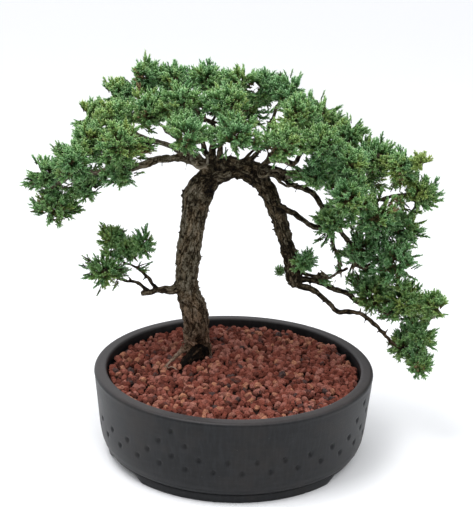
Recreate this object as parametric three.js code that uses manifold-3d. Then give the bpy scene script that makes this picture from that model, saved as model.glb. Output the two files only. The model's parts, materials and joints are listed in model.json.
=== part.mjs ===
// Juniper bonsai in a round clay pot. Millimetres, +Z up, front towards -Y.
// The origin is on the surface, on the pot's axis.
import * as THREE from 'three';
import { mergeVertices } from 'three/addons/utils/BufferGeometryUtils.js';
import Module from 'manifold-3d';

const wasm = await Module();
wasm.setup();

const gap = 0.3;

const pot = {
  sides: 48,
  height: 93,
  rimOuter: 150,
  rimInner: 136.5,
  wallOuter: [[138.5, 11], [142.4, 20], [144.9, 36]],
  wallLowInner: 128,
  footOuter: 136,
  footInner: 121,
  footHeight: 9.5,
  footEdge: 0.6,
  footTurnDegrees: 2.4,
  footGapDegrees: 30,
  footGapHeight: 6.5,
  floorTop: 17.5,
  drainRadius: 14,
};

const dent = {
  perTurn: 32,
  fullRows: 2,
  radius: 3.1,
  depth: 2,
  rows: [
    { z: 38, outer: 144.9 },
    { z: 50, outer: 146.1 },
    { z: 64, outer: 147.4 },
    { z: 78, outer: 148.6 },
  ],
  peaks: 4,
  peakStart: -2,
  turnDegrees: -1.4,
};

const soil = { sides: 30, top: 77.7, holeRadius: 16.6, holeFloor: 49.4 };
const gravel = {
  base: 78,
  edge: 86,
  crown: 88.5,
  outer: 135.1,
  rings: 11,
  lumpsPerRing: 4.6,
  relief: 2,
  wander: 1.5,
};
const screen = { width: 44, thickness: 1.2, opening: 9.5, rib: 3 };
const trunkFoot = { x: -39, y: 38 };

// Each limb is a smooth line of [x, y, z, radius] with a number of flat sides.
const limbs = {
  trunk: { sides: 9, rings: 16, line: [
    [-39, 38, 50, 12.5], [-39, 38, 72, 14], [-40, 37, 92, 15.2], [-42, 36, 112, 14],
    [-42, 34, 128, 15.2], [-45.4, 32, 146, 14.2], [-50.4, 30, 167, 12.8], [-52, 30, 186, 13],
    [-51.1, 30, 204, 13.4], [-49.4, 30, 224, 13.8], [-47, 30, 241, 14.2], [-44.5, 30, 260, 14.8],
    [-40, 30, 279, 16], [-27, 30, 293, 14], [-12, 30, 301, 12],
  ] },
  arch: { sides: 8, rings: 14, line: [
    [-30, 30, 292, 12], [-14, 30, 300.5, 11.2], [2, 30, 301.5, 10.4], [17, 30, 295.5, 10.6],
    [30, 28, 282.5, 10.3], [39.5, 25, 265.5, 9.5], [46.8, 22, 249, 8.9], [51.6, 19, 233, 8.4],
    [56.8, 16, 215, 8], [61, 14, 199, 8.8], [63.4, 12, 187, 8.4], [65, 11, 179, 5.4],
  ] },
  frontRoot: { sides: 5, rings: 5, line: [
    [-44, 34, 110, 7.5], [-49, 33, 102, 5], [-54, 29, 96, 3.6], [-61, 19, 92.5, 3], [-67, 9, 90.8, 2.5],
    [-73, -3, 88.5, 1.9],
  ] },
  rootMat: { sides: 6, rings: 4, line: [
    [-36, 36, 97, 11], [-42, 27, 92, 8.5], [-49, 18, 89.5, 6.5], [-55, 9, 88, 4.5], [-59, 1, 86.5, 2.5],
  ] },
  backRoot: { sides: 5, rings: 3, line: [
    [-41, 40, 104, 8], [-45, 55, 92, 5.6], [-52, 68, 87.5, 4], [-56, 80, 83.4, 2.4],
  ] },
  lowStub: { sides: 6, rings: 4, line: [
    [-52, 30, 168, 7], [-64, 28, 167.5, 5.2], [-80, 24, 167, 4.4], [-93, 20, 166, 3.8],
    [-102, 16, 165, 3],
  ] },
  sprigTwig: { sides: 4, rings: 3, line: [
    [-84, 23, 167, 2.6], [-93, 22, 179, 2], [-104, 22, 190, 1.8], [-118, 22, 197, 1.6],
    [-132, 22, 205, 1.4],
  ] },
  lowTwig: { sides: 4, rings: 2, line: [
    [-93, 20, 166, 2.6], [-104, 18, 175, 1.8], [-118, 16, 180, 1.6], [-138, 14, 186, 1.4],
  ] },
  leftBranch: { sides: 6, rings: 9, line: [
    [-30, 29, 302, 6], [-40, 28, 304.5, 6.4], [-52, 26, 310, 6], [-66, 20, 313.5, 5.3],
    [-88, 8, 312, 4.6], [-112, -4, 306, 4], [-136, -8, 305, 3.2], [-162, -6, 302, 2.6],
    [-184, -2, 291, 2], [-196, 2, 282, 1.6],
  ] },
  upperLeftBranch: { sides: 5, rings: 6, line: [
    [-36, 29, 306, 4.8], [-50, 28.5, 318, 4.4], [-63.7, 28, 324.2, 3.8], [-77.3, 28, 330.2, 3.2],
    [-90.9, 28, 333.1, 2.8], [-103.5, 30, 336.6, 2.5], [-122, 38, 348, 2.2], [-140, 43, 354, 1.8],
  ] },
  innerLeftBranch: { sides: 4, rings: 3, line: [
    [-54, 28, 320, 3.2], [-62, 31, 329, 2.8], [-70.4, 34, 335.5, 2.4], [-81, 38, 343, 2],
    [-92, 40, 352, 1.6],
  ] },
  topLeftBranch: { sides: 5, rings: 4, line: [
    [-28, 31, 304, 5], [-36, 38, 322, 4], [-46, 48, 345, 3.2], [-60, 54, 368, 2.4], [-82, 58, 384, 1.8],
  ] },
  topFrontBranch: { sides: 5, rings: 4, line: [
    [-22, 28, 304, 5], [-19, 16, 324, 4], [-22, 0, 344, 3], [-28, -14, 360, 2.2], [-36, -30, 364, 1.8],
  ] },
  topRightBranch: { sides: 5, rings: 5, line: [
    [-8, 32, 303, 5.2], [10, 36, 311, 4.4], [24, 41, 322, 3.4], [30, 46, 340, 2.8], [38, 50, 362, 2.2],
    [44, 50, 376, 1.8],
  ] },
  rightHighBranch: { sides: 5, rings: 7, line: [
    [4, 29, 305, 6], [20, 25, 306, 5], [33, 20, 304.5, 4.4], [47, 14, 303.5, 4], [61, 8, 301.5, 3.8],
    [73, 4, 303, 3.4], [88, 2, 314, 3], [112, 2, 327, 2.6], [136, 4, 327, 2.2], [156, 0, 323, 1.8],
  ] },
  curledBranch: { sides: 5, rings: 8, line: [
    [20, 25, 303, 4], [24, 18, 307, 3.4], [26, 13, 311, 3.2], [29.1, 8, 316, 3], [34, 4, 321.5, 3],
    [38.8, -2, 325, 2.8], [45.9, -8, 323.5, 2.6], [54.9, -12, 322.5, 2.4], [64, -18, 332, 2.2],
    [76, -26, 342, 1.8],
  ] },
  rightMiddleBranch: { sides: 5, rings: 9, line: [
    [24, 27, 296, 5], [33, 22, 298, 4.6], [41.3, 18, 297, 4.2], [53.9, 12, 291, 4],
    [67.2, 6, 287.5, 3.6], [77.6, 2, 282.5, 3.2], [84.8, -4, 275.5, 3], [89, -8, 269, 2.8],
    [104, -12, 268, 2.6], [128, -14, 278, 2.2], [152, -8, 285, 2], [180, -2, 288, 1.6],
  ] },
  rightLowBranch: { sides: 5, rings: 9, line: [
    [36, 24, 272, 5], [49.6, 14, 265.5, 4], [62.3, 10, 259.5, 3.6], [73.8, 6, 253.5, 3.4],
    [82.3, 4, 248, 3.2], [96.9, 2, 244.5, 3], [106.6, 1, 238.4, 2.8], [111.3, 1, 226.4, 2.6],
    [113, 2, 215, 2.4], [124, 2, 206, 2.2], [138, 2, 207, 2.2], [158, 2, 222, 1.8], [172, 4, 238, 1.6],
  ] },
  kneeTwig: { sides: 4, rings: 5, line: [
    [61, 13, 198, 3.2], [72, 8, 195.5, 2.2], [86.6, 2, 194.5, 2], [99.1, 0, 194.4, 1.8],
    [109.1, -2, 202, 1.8], [117.3, -3, 205.8, 1.6],
  ] },
  kneeBranch: { sides: 5, rings: 7, line: [
    [61, 13, 187, 4.4], [68.5, 14, 185, 3.8], [79.1, 14, 185.5, 3.6], [92.2, 15, 181, 3.6],
    [105.4, 17, 175, 3.4], [120.8, 18, 169.5, 3], [136.5, 18, 158.5, 2.6], [158, 16, 162, 2.2],
    [178, 4, 170, 1.8],
  ] },
  lowestBranch: { sides: 5, rings: 9, line: [
    [62, 12, 183, 4.2], [70, 8, 179, 3.8], [79, 6, 177, 3.6], [91.9, 3, 170.8, 3.3],
    [100.6, 1, 162.7, 3.2], [109.5, 0, 154.2, 3.2], [124.3, -1, 154.9, 2.8], [138.3, -2, 150, 2.6],
    [152.7, -3, 138.2, 2.4], [167.5, -2, 124.4, 2.2], [185, 0, 112, 1.8],
  ] },
};

// Each tuft is [group, x, y, z, reach in x, reach in y, reach in z].
const tufts = [
  ['left', -198, 4, 297, 26, 24, 24],
  ['left', -167, -22, 317, 22, 24, 23],
  ['left', -191, 2, 269, 30, 26, 23],
  ['left', -156, -4, 292, 20, 22, 21],
  ['left', -153, 8, 337, 21, 26, 24],
  ['left', -154, 44, 352, 22, 26, 20],
  ['left', -126, 14, 359, 22, 25, 22],
  ['left', -117, -30, 340, 27, 26, 28],
  ['left', -121, -10, 309, 24, 22, 22],
  ['left', -127, 50, 376, 24, 24, 18],
  ['left', -99, 58, 392, 21, 25, 26],
  ['left', -94, 8, 369, 22, 26, 24],
  ['top', -71, 55, 390, 21, 25, 22],
  ['top', -36, 46, 394, 23, 25, 20],
  ['top', -54, -8, 378, 25, 28, 25],
  ['top', -17, -14, 380, 25, 28, 25],
  ['top', -1, 28, 394, 19, 24, 19],
  ['top', -50, -42, 355, 28, 26, 23],
  ['top', -7, -38, 355, 28, 26, 24],
  ['top', 24, 54, 385, 21, 26, 23],
  ['top', 50, 36, 384, 21, 26, 25],
  ['top', 60, -8, 368, 24, 28, 25],
  ['top', 40, -38, 347, 25, 26, 24],
  ['top', 78, -28, 346, 22, 25, 24],
  ['top', 87, 34, 362, 21, 26, 23],
  ['right', 80, -10, 309, 19, 20, 18],
  ['right', 111, 22, 345, 23, 26, 22],
  ['right', 108, -20, 324, 24, 26, 24],
  ['right', 141, 10, 325, 23, 25, 23],
  ['right', 166, -6, 319, 20, 21, 20],
  ['tip', 183, -16, 326, 12, 11, 10],
  ['right', 112, -34, 295, 26, 26, 24],
  ['right', 96, -10, 262, 21, 20, 21],
  ['right', 141, -16, 273, 26, 27, 29],
  ['right', 189, 0, 287, 27, 21, 20],
  ['right', 175, 10, 251, 28, 26, 28],
  ['right', 131, 12, 225, 27, 27, 32],
  ['right', 168, -12, 219, 28, 28, 27],
  ['low', 148, 18, 174, 28, 27, 28],
  ['low', 183, -4, 170, 26, 25, 26],
  ['low', 206, -10, 168, 20, 20, 24],
  ['low', 197, -4, 134, 22, 21, 26],
  ['low', 182, 6, 118, 18, 18, 24],
  ['low', 199, -8, 104, 15, 14, 19],
  ['knee', 72, 4, 209, 15, 13, 16],
  ['knee', 48.5, 16, 195, 7, 6, 8],
  ['sprig', -133, 26, 224, 18, 16, 19],
  ['sprig', -117, 20, 214, 18, 14, 17],
  ['sprig', -100, 14, 221, 14, 12, 21],
  ['sprig', -139, 12, 194, 25, 19, 21],
  ['back', -150, 68, 316, 28, 27, 26],
  ['back', -64, 88, 354, 31, 30, 28],
  ['back', 6, 88, 358, 31, 30, 28],
  ['back', 82, 74, 344, 30, 29, 27],
  ['back', 138, 54, 294, 28, 28, 28],
];

const needles = {
  spread: 1.27,
  core: 0.54,
  shortest: 0.72,
  woodClear: 5.5,
  smallTuft: 13,
  seed: 3107,
};

const look = {
  clay: { color: 0x2c2b2a, roughness: 0.72, metalness: 0 },
  earth: { color: 0x2b211a, roughness: 1, metalness: 0 },
  lava: { color: 0x74362a, roughness: 0.95, metalness: 0 },
  bark: { color: 0x5b4a3d, roughness: 0.9, metalness: 0 },
  mesh: { color: 0x1d1f20, roughness: 0.6, metalness: 0 },
  leaf: { color: 0x3f6e4e, roughness: 0.7, metalness: 0 },
  youngLeaf: { color: 0x93a656, roughness: 0.7, metalness: 0 },
};

function randomFrom(seed) {
  let state = seed;
  return () => {
    state = (state * 1664525 + 1013904223) % 4294967296;
    return state / 4294967296;
  };
}

function solid(geometry) {
  const bare = geometry.clone();
  bare.deleteAttribute('normal');
  bare.deleteAttribute('uv');
  const merged = mergeVertices(bare, 1e-4);
  return new wasm.Manifold(new wasm.Mesh({
    numProp: 3,
    vertProperties: Float32Array.from(merged.attributes.position.array),
    triVerts: Uint32Array.from(merged.index.array),
  }));
}

function largestBody(shape) {
  const bodies = shape.decompose();
  return bodies.reduce((best, next) => (next.volume() > best.volume() ? next : best));
}

function addNode(group, name, shape, slot) {
  const mesh = shape.getMesh();
  const geometry = new THREE.BufferGeometry();
  geometry.setAttribute('position', new THREE.BufferAttribute(new Float32Array(mesh.vertProperties), 3));
  geometry.setIndex(new THREE.BufferAttribute(new Uint32Array(mesh.triVerts), 1));
  const flat = geometry.toNonIndexed();
  flat.computeVertexNormals();
  const material = new THREE.MeshStandardMaterial(look[slot]);
  material.name = slot;
  const node = new THREE.Mesh(flat, material);
  node.name = name;
  group.add(node);
}

function turned(profile, sides) {
  const points = profile.map(([r, z]) => new THREE.Vector2(r, z));
  return solid(new THREE.LatheGeometry(points, sides).rotateX(Math.PI / 2));
}

function upright(radius, low, high, sides, x = 0, y = 0) {
  const geometry = new THREE.CylinderGeometry(radius, radius, high - low, sides);
  return solid(geometry.rotateX(Math.PI / 2).translate(x, y, (low + high) / 2));
}

function block(width, depth, low, high, x = 0, y = 0) {
  return solid(new THREE.BoxGeometry(width, depth, high - low).translate(x, y, (low + high) / 2));
}

function potSolid() {
  const p = pot;
  const profile = [
    [0, p.footHeight], [p.footInner, p.footHeight], [p.footInner + p.footEdge, 0],
    [p.footOuter - p.footEdge, 0], [p.footOuter + 0.4, p.footHeight - 0.7],
    [p.footOuter - p.footEdge, p.footHeight + 0.2], ...p.wallOuter,
    [p.rimOuter, p.height - 3], [p.rimOuter - 1.6, p.height], [p.rimInner + 1.6, p.height],
    [p.rimInner, p.height - 2], [p.wallLowInner + 6, 40], [p.wallLowInner, 20.5],
    [p.wallLowInner - 6, p.floorTop], [0, p.floorTop],
  ];
  const drain = upright(p.drainRadius, p.footHeight - 2, p.floorTop + 2, 20);
  const gaps = [-60, 60, 180].map((degrees) => footGap(p.footTurnDegrees + degrees));
  return turned(profile, p.sides).subtract(wasm.Manifold.union([drain, ...gaps, ...dentTools()]));
}

// Two rows of dents all round, and above them four peaks of three dents.
function dentTools() {
  const step = 360 / dent.perTurn;
  const tools = [];
  dent.rows.forEach((row, level) => {
    const start = dent.turnDegrees - (level % 2 === 0 ? step / 2 : 0);
    if (level < dent.fullRows) {
      for (let i = 0; i < dent.perTurn; i += 1) {
        tools.push(dentTool(row, start + i * step));
      }
      return;
    }
    for (let peak = 0; peak < dent.peaks; peak += 1) {
      for (let i = 0; i < dent.rows.length - level; i += 1) {
        tools.push(dentTool(row, start + (peak * 360) / dent.peaks + (dent.peakStart + i) * step));
      }
    }
  });
  return tools;
}

// A wedge from the axis outwards, which opens the foot ring below its top band; 0 degrees is the front.
function footGap(degrees) {
  const half = THREE.MathUtils.degToRad(pot.footGapDegrees / 2);
  const middle = THREE.MathUtils.degToRad(degrees - 90);
  const far = pot.rimOuter + 20;
  const shape = new THREE.Shape();
  shape.moveTo(0, 0);
  shape.lineTo(far * Math.cos(middle - half), far * Math.sin(middle - half));
  shape.lineTo(far * Math.cos(middle + half), far * Math.sin(middle + half));
  shape.closePath();
  const wedge = new THREE.ExtrudeGeometry(shape, { depth: pot.footGapHeight + 1, bevelEnabled: false });
  return solid(wedge.translate(0, 0, -1));
}

function dentTool(row, degrees) {
  const cone = new THREE.ConeGeometry(dent.radius * 1.5, dent.depth * 1.5, 4);
  const turn = THREE.MathUtils.degToRad(degrees - 90);
  cone.rotateZ(Math.PI / 2);
  cone.translate(row.outer - dent.depth * 0.25, 0, row.z);
  cone.rotateZ(turn);
  return solid(cone);
}

function screenSolid() {
  const low = pot.floorTop + gap;
  const pitch = screen.opening + screen.rib;
  const plate = block(screen.width, screen.width, low, low + screen.thickness);
  const holes = [];
  for (let i = -1; i <= 1; i += 1) {
    for (let j = -1; j <= 1; j += 1) {
      holes.push(block(screen.opening, screen.opening, low - 1, low + 3, i * pitch, j * pitch));
    }
  }
  return plate.subtract(wasm.Manifold.union(holes));
}

function soilSolid() {
  const low = pot.floorTop + gap;
  const profile = [
    [0, low], [121, low], [pot.wallLowInner - 0.6, 20.9], [pot.wallLowInner + 5.5, 40.2],
    [gravel.outer, soil.top], [0, soil.top],
  ];
  const screenTop = low + screen.thickness + gap;
  const recess = block(screen.width + 2 * gap, screen.width + 2 * gap, low - 1, screenTop);
  const hole = upright(soil.holeRadius, soil.holeFloor, soil.top + 5, 12, trunkFoot.x, trunkFoot.y);
  return turned(profile, soil.sides).subtract(recess).subtract(hole);
}

// Rings of points, each joined to the next by a strip that follows both point counts.
function gravelSolid(wood) {
  const random = randomFrom(needles.seed + 5);
  const points = [0, 0, gravel.crown];
  const rings = [{ first: 0, count: 1 }];
  for (let k = 1; k <= gravel.rings; k += 1) {
    const radius = (gravel.outer * k) / gravel.rings;
    const atRim = k === gravel.rings;
    const count = atRim ? pot.sides : Math.round(gravel.lumpsPerRing * k);
    const height = gravel.crown + (gravel.edge - gravel.crown) * (k / gravel.rings) ** 3;
    rings.push({ first: points.length / 3, count });
    for (let i = 0; i < count; i += 1) {
      const angle = ((i + (atRim ? 0 : 0.7 * random())) / count) * 2 * Math.PI;
      const lift = (2 * random() - 1) * gravel.relief;
      const reach = atRim ? radius : radius + (2 * random() - 1) * gravel.wander;
      points.push(reach * Math.cos(angle), reach * Math.sin(angle), height + lift);
    }
  }
  const rim = rings[gravel.rings];
  const under = { first: points.length / 3, count: rim.count };
  for (let i = 0; i < rim.count; i += 1) {
    const at = 3 * (rim.first + i);
    points.push(points[at], points[at + 1], gravel.base);
  }
  points.push(0, 0, gravel.base);
  const triangles = [];
  for (let k = 1; k <= gravel.rings; k += 1) {
    strip(rings[k - 1], rings[k], triangles);
  }
  strip(rim, under, triangles);
  strip(under, { first: points.length / 3 - 1, count: 1 }, triangles);
  const geometry = new THREE.BufferGeometry();
  geometry.setAttribute('position', new THREE.Float32BufferAttribute(points, 3));
  geometry.setIndex(triangles);
  return largestBody(solid(geometry).subtract(wood));
}

function strip(inner, outer, triangles) {
  let i = 0;
  let j = 0;
  const innerSteps = inner.count === 1 ? 0 : inner.count;
  const outerSteps = outer.count === 1 ? 0 : outer.count;
  while (i < innerSteps || j < outerSteps) {
    const a = inner.first + (i % inner.count);
    const b = outer.first + (j % outer.count);
    const outerNext = j < outerSteps && (i >= innerSteps || (j + 1) * innerSteps <= (i + 1) * outerSteps);
    if (outerNext) {
      triangles.push(a, b, outer.first + ((j + 1) % outer.count));
      j += 1;
    } else {
      triangles.push(a, b, inner.first + ((i + 1) % inner.count));
      i += 1;
    }
  }
}

function curveOf(line) {
  return new THREE.CatmullRomCurve3(line.map(([x, y, z]) => new THREE.Vector3(x, y, z)));
}

function radiusAlong(line, curve, t) {
  const place = curve.getUtoTmapping(t) * (line.length - 1);
  const step = Math.min(Math.floor(place), line.length - 2);
  return THREE.MathUtils.lerp(line[step][3], line[step + 1][3], place - step);
}

// A closed tube bent along a limb's line; grow makes it fatter and longer all round.
function limbSolid({ line, sides, rings }, grow) {
  const curve = curveOf(line);
  const frames = curve.computeFrenetFrames(rings, false);
  const tube = new THREE.CylinderGeometry(1, 1, 1, sides, rings);
  const place = tube.attributes.position;
  for (let i = 0; i < place.count; i += 1) {
    const ring = Math.round((place.getY(i) + 0.5) * rings);
    const t = ring / rings;
    const across = Math.hypot(place.getX(i), place.getZ(i));
    const angle = Math.atan2(place.getZ(i), place.getX(i));
    const flute = sides > 7 ? 1 + 0.07 * Math.cos(3 * angle + 2.5 * Math.sin(5 * t)) : 1;
    const radius = radiusAlong(line, curve, t) * flute + grow;
    const point = curve.getPointAt(t);
    point.addScaledVector(frames.binormals[ring], Math.cos(angle) * radius * across);
    point.addScaledVector(frames.normals[ring], Math.sin(angle) * radius * across);
    const end = ring === rings ? 1 : 0;
    const start = ring === 0 ? 1 : 0;
    point.addScaledVector(frames.tangents[ring], grow * (end - start));
    place.setXYZ(i, point.x, point.y, point.z);
  }
  return solid(tube);
}

// Twigs grow from the nearest wood to the middle of each tuft, nearest tuft first.
function twigLimbs() {
  const wood = [];
  Object.values(limbs).slice(1).forEach(({ line }) => {
    const curve = curveOf(line);
    for (let i = 4; i <= 24; i += 1) {
      wood.push({ at: curve.getPointAt(i / 24), radius: radiusAlong(line, curve, i / 24) });
    }
  });
  const waiting = tufts.map(([, x, y, z]) => new THREE.Vector3(x, y, z));
  const twigs = [];
  while (waiting.length > 0) {
    let best = { distance: Infinity };
    waiting.forEach((goal, index) => {
      wood.forEach((from) => {
        const distance = from.at.distanceTo(goal);
        if (distance < best.distance) {
          best = { distance, goal, index, from };
        }
      });
    });
    waiting.splice(best.index, 1);
    if (best.distance < 4) {
      continue;
    }
    const { from, goal } = best;
    const end = goal.clone().lerp(from.at, Math.min(0.4, 6 / best.distance));
    const middle = from.at.clone().lerp(end, 0.5);
    middle.z += best.distance * 0.08;
    const thick = Math.min(from.radius * 0.8, 1.2 + best.distance * 0.016);
    const line = [
      [from.at.x, from.at.y, from.at.z, thick],
      [middle.x, middle.y, middle.z, thick * 0.85],
      [end.x, end.y, end.z, 1],
    ];
    twigs.push({ line, sides: 3, rings: best.distance > 30 ? 2 : 1 });
    const curve = curveOf(line);
    [0.5, 0.8, 1].forEach((t) => {
      wood.push({ at: curve.getPointAt(t), radius: radiusAlong(line, curve, t) });
    });
  }
  return twigs;
}

const allLimbs = [...Object.values(limbs), ...twigLimbs()];

// Points along every limb, with the wood's radius there.
const woodPoints = allLimbs.flatMap(({ line }) => {
  const curve = curveOf(line);
  const count = Math.ceil(curve.getLength() / 3);
  return Array.from({ length: count + 1 }, (_, i) => {
    return { at: curve.getPointAt(i / count), radius: radiusAlong(line, curve, i / count) };
  });
});

function nearWood(point) {
  return woodPoints.some(({ at, radius }) => at.distanceTo(point) < radius + needles.woodClear);
}

function woodSolid(grow) {
  return wasm.Manifold.union(allLimbs.map((limb) => limbSolid(limb, grow))).simplify(0.08);
}

// A spiky ball around a smaller core, held back from its neighbours by flat walls. Twelve of the ball's
// corners and the twenty faces between them are drawn out to tips; a small tuft has tips on its faces only.
function tuftSolid(index, wood) {
  const random = randomFrom(needles.seed + 97 * index);
  const [, x, y, z, reachX, reachY, reachZ] = tufts[index];
  const centre = new THREE.Vector3(x, y, z);
  const size = Math.max(reachX, reachY, reachZ);
  const small = size < needles.smallTuft;
  const walls = tufts.filter((other, i) => i !== index).map((other) => wallTowards(centre, size, other));
  const ball = new THREE.IcosahedronGeometry(1, small ? 0 : 1);
  ball.rotateX(random() * 3).rotateZ(random() * 3);
  ball.deleteAttribute('normal');
  ball.deleteAttribute('uv');
  const core = mergeVertices(ball, 1e-4);
  const faces = Array.from(core.index.array);
  const directions = Array.from({ length: core.attributes.position.count }, (_, corner) => {
    return new THREE.Vector3().fromBufferAttribute(core.attributes.position, corner).normalize();
  });
  const reach = (direction, part) => {
    const d = direction;
    let length = (needles.spread * part) / Math.hypot(d.x / reachX, d.y / reachY, d.z / reachZ);
    walls.forEach(({ towards, distance }) => {
      const facing = d.dot(towards);
      if (facing > 0 && length * facing > distance) {
        length = distance / facing;
      }
    });
    return length;
  };
  const tipAlong = (direction) => {
    const length = needles.shortest + (1 - needles.shortest) * random();
    return direction.clone().multiplyScalar(reach(direction, length));
  };
  const isClear = (tip) => {
    return [0.75, 1].every((part) => !nearWood(tip.clone().multiplyScalar(part).add(centre)));
  };
  const sharp = directions.map((_, corner) => {
    return !small && faces.filter((other) => other === corner).length === 5;
  });
  const points = directions.map((d, corner) => {
    const tip = tipAlong(d);
    const low = d.clone().multiplyScalar(reach(d, needles.core * (0.85 + 0.3 * random())));
    return sharp[corner] && isClear(tip) ? tip : low;
  });
  const triangles = [];
  for (let f = 0; f < faces.length; f += 3) {
    const corners = faces.slice(f, f + 3);
    const middle = new THREE.Vector3();
    corners.forEach((corner) => middle.addScaledVector(directions[corner], 0.7 + 0.6 * random()));
    const tip = tipAlong(middle.normalize());
    if (corners.some((corner) => sharp[corner]) || !isClear(tip)) {
      triangles.push(...corners);
      continue;
    }
    const apex = points.push(tip) - 1;
    const [a, b, c] = corners;
    triangles.push(a, b, apex, b, c, apex, c, a, apex);
  }
  const geometry = new THREE.BufferGeometry().setFromPoints(points);
  geometry.setIndex(triangles);
  geometry.translate(x, y, z);
  return largestBody(solid(geometry).subtract(wood)).simplify(0.1);
}

function wallTowards(centre, size, other) {
  const [, x, y, z, reachX, reachY, reachZ] = other;
  const towards = new THREE.Vector3(x, y, z).sub(centre);
  const apart = towards.length();
  const share = size / (size + Math.max(reachX, reachY, reachZ));
  return { towards: towards.normalize(), distance: apart * share - gap / 2 };
}

const object = new THREE.Group();
object.name = 'bonsai_in_pot';
const wood = woodSolid(0);
const woodSpace = woodSolid(gap + 0.08);
addNode(object, 'pot', potSolid(), 'clay');
addNode(object, 'drain_screen', screenSolid(), 'mesh');
addNode(object, 'potting_soil', soilSolid(), 'earth');
addNode(object, 'lava_gravel', gravelSolid(woodSpace), 'lava');
addNode(object, 'trunk_and_branches', wood, 'bark');
const numbers = {};
tufts.forEach(([group], index) => {
  numbers[group] = (numbers[group] ?? 0) + 1;
  const name = `foliage_${group}_${numbers[group]}`;
  addNode(object, name, tuftSolid(index, woodSpace), group === 'tip' ? 'youngLeaf' : 'leaf');
});

export default object;
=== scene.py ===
import json
import math
import random

import bmesh
import bpy
import numpy as np
from mathutils import Matrix, Vector, kdtree, noise

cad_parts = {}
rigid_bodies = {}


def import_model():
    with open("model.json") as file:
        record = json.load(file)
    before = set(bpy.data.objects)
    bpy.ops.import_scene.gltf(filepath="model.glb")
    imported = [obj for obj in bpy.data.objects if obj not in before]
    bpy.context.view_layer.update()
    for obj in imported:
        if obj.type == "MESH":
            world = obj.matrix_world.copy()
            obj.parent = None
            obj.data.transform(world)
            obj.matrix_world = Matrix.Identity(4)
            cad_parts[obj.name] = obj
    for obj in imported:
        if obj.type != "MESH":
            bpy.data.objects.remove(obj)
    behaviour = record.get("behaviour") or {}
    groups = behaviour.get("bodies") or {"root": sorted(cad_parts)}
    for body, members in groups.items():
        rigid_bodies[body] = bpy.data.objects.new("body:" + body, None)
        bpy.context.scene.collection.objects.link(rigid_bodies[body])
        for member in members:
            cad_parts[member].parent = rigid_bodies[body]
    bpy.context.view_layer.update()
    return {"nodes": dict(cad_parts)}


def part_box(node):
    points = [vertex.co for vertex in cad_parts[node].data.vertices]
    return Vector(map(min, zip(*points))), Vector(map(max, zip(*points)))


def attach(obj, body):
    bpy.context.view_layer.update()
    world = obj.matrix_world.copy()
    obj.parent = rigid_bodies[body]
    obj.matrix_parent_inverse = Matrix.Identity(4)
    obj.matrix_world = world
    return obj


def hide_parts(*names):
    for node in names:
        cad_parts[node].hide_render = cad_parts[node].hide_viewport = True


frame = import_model()
mm = 0.001
noise.seed_set(5)  # noise_vector starts from the clock without it


def addObject(name, data):
    made = bpy.data.objects.new(name, data)
    bpy.context.scene.collection.objects.link(made)
    return made


def newCollection(name):
    made = bpy.data.collections.new(name)
    bpy.context.scene.collection.children.link(made)
    return made


def removeCollection(collection):
    for member in list(collection.objects):
        bpy.data.objects.remove(member)
    bpy.data.collections.remove(collection)


class Wire:  # a node's output, for expressions
    def __init__(self, tree, socket):
        self.tree = tree
        self.socket = socket

    def math(self, operation, first, second, clamp=False):
        settings = {'operation': operation, 'use_clamp': clamp}
        return self.tree.node('ShaderNodeMath', settings, {0: first, 1: second})

    def __add__(self, other):
        return self.math('ADD', self, other)

    def __radd__(self, other):
        return self.math('ADD', other, self)

    def __sub__(self, other):
        return self.math('SUBTRACT', self, other)

    def __rsub__(self, other):
        return self.math('SUBTRACT', other, self)

    def __mul__(self, other):
        return self.math('MULTIPLY', self, other)

    def __rmul__(self, other):
        return self.math('MULTIPLY', other, self)

    def clamped(self):
        return self.math('ADD', self, 0.0, clamp=True)


class Tree:  # wraps a shader or geometry node tree
    def __init__(self, nodeTree):
        self.nodeTree = nodeTree

    def node(self, kind, settings=None, inputs=None, output=0):
        made = self.nodeTree.nodes.new(kind)
        for key, value in (settings or {}).items():
            if key == 'stops':
                self.setStops(made.color_ramp, value)
            else:
                setattr(made, key, value)
        for key, value in (inputs or {}).items():
            self.plug(value, made.inputs[key])
        return Wire(self, made.outputs[output])

    def plug(self, value, socket):
        if isinstance(value, Wire):
            self.nodeTree.links.new(value.socket, socket)
        else:
            socket.default_value = value

    def setStops(self, ramp, stops):
        while len(ramp.elements) < len(stops):
            ramp.elements.new(1.0)
        for element, (place, colour) in zip(ramp.elements, stops):
            element.position = place
            element.color = colour if len(colour) == 4 else (*colour, 1.0)

    def ramp(self, value, stops):
        return self.node('ShaderNodeValToRGB', {'stops': stops}, {0: value})

    def blend(self, factor, first, second, mode='MIX'):
        settings = {'data_type': 'RGBA', 'blend_type': mode}
        return self.node('ShaderNodeMix', settings, {0: factor, 6: first, 7: second}, 2)

    def times(self, first, second):  # one colour multiplied by another
        return self.blend(1.0, first, second, 'MULTIPLY')

    def mask(self, value, low, high):  # 0 up to low, 1 from high on
        return self.ramp(value, [(low, (0, 0, 0)), (high, (1, 1, 1))])

    def part(self, vector, letter):
        return self.node('ShaderNodeSeparateXYZ', None, {0: vector}, letter)

    def objectPlace(self):
        return self.node('ShaderNodeTexCoord', output='Object')

    def attribute(self, name, output='Vector'):
        return self.node('ShaderNodeAttribute', {'attribute_name': name}, output=output)

    def stretched(self, place, scale):
        return self.node('ShaderNodeMapping', inputs={'Vector': place, 'Scale': scale})

    def clouds(self, place, scale, detail=4.0, roughness=0.5):
        inputs = {'Vector': place, 'Scale': scale, 'Detail': detail, 'Roughness': roughness}
        return self.node('ShaderNodeTexNoise', None, inputs, 'Fac')

    def cells(self, place, scale):
        return self.node('ShaderNodeTexVoronoi', None, {'Vector': place, 'Scale': scale}, 'Distance')


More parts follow.
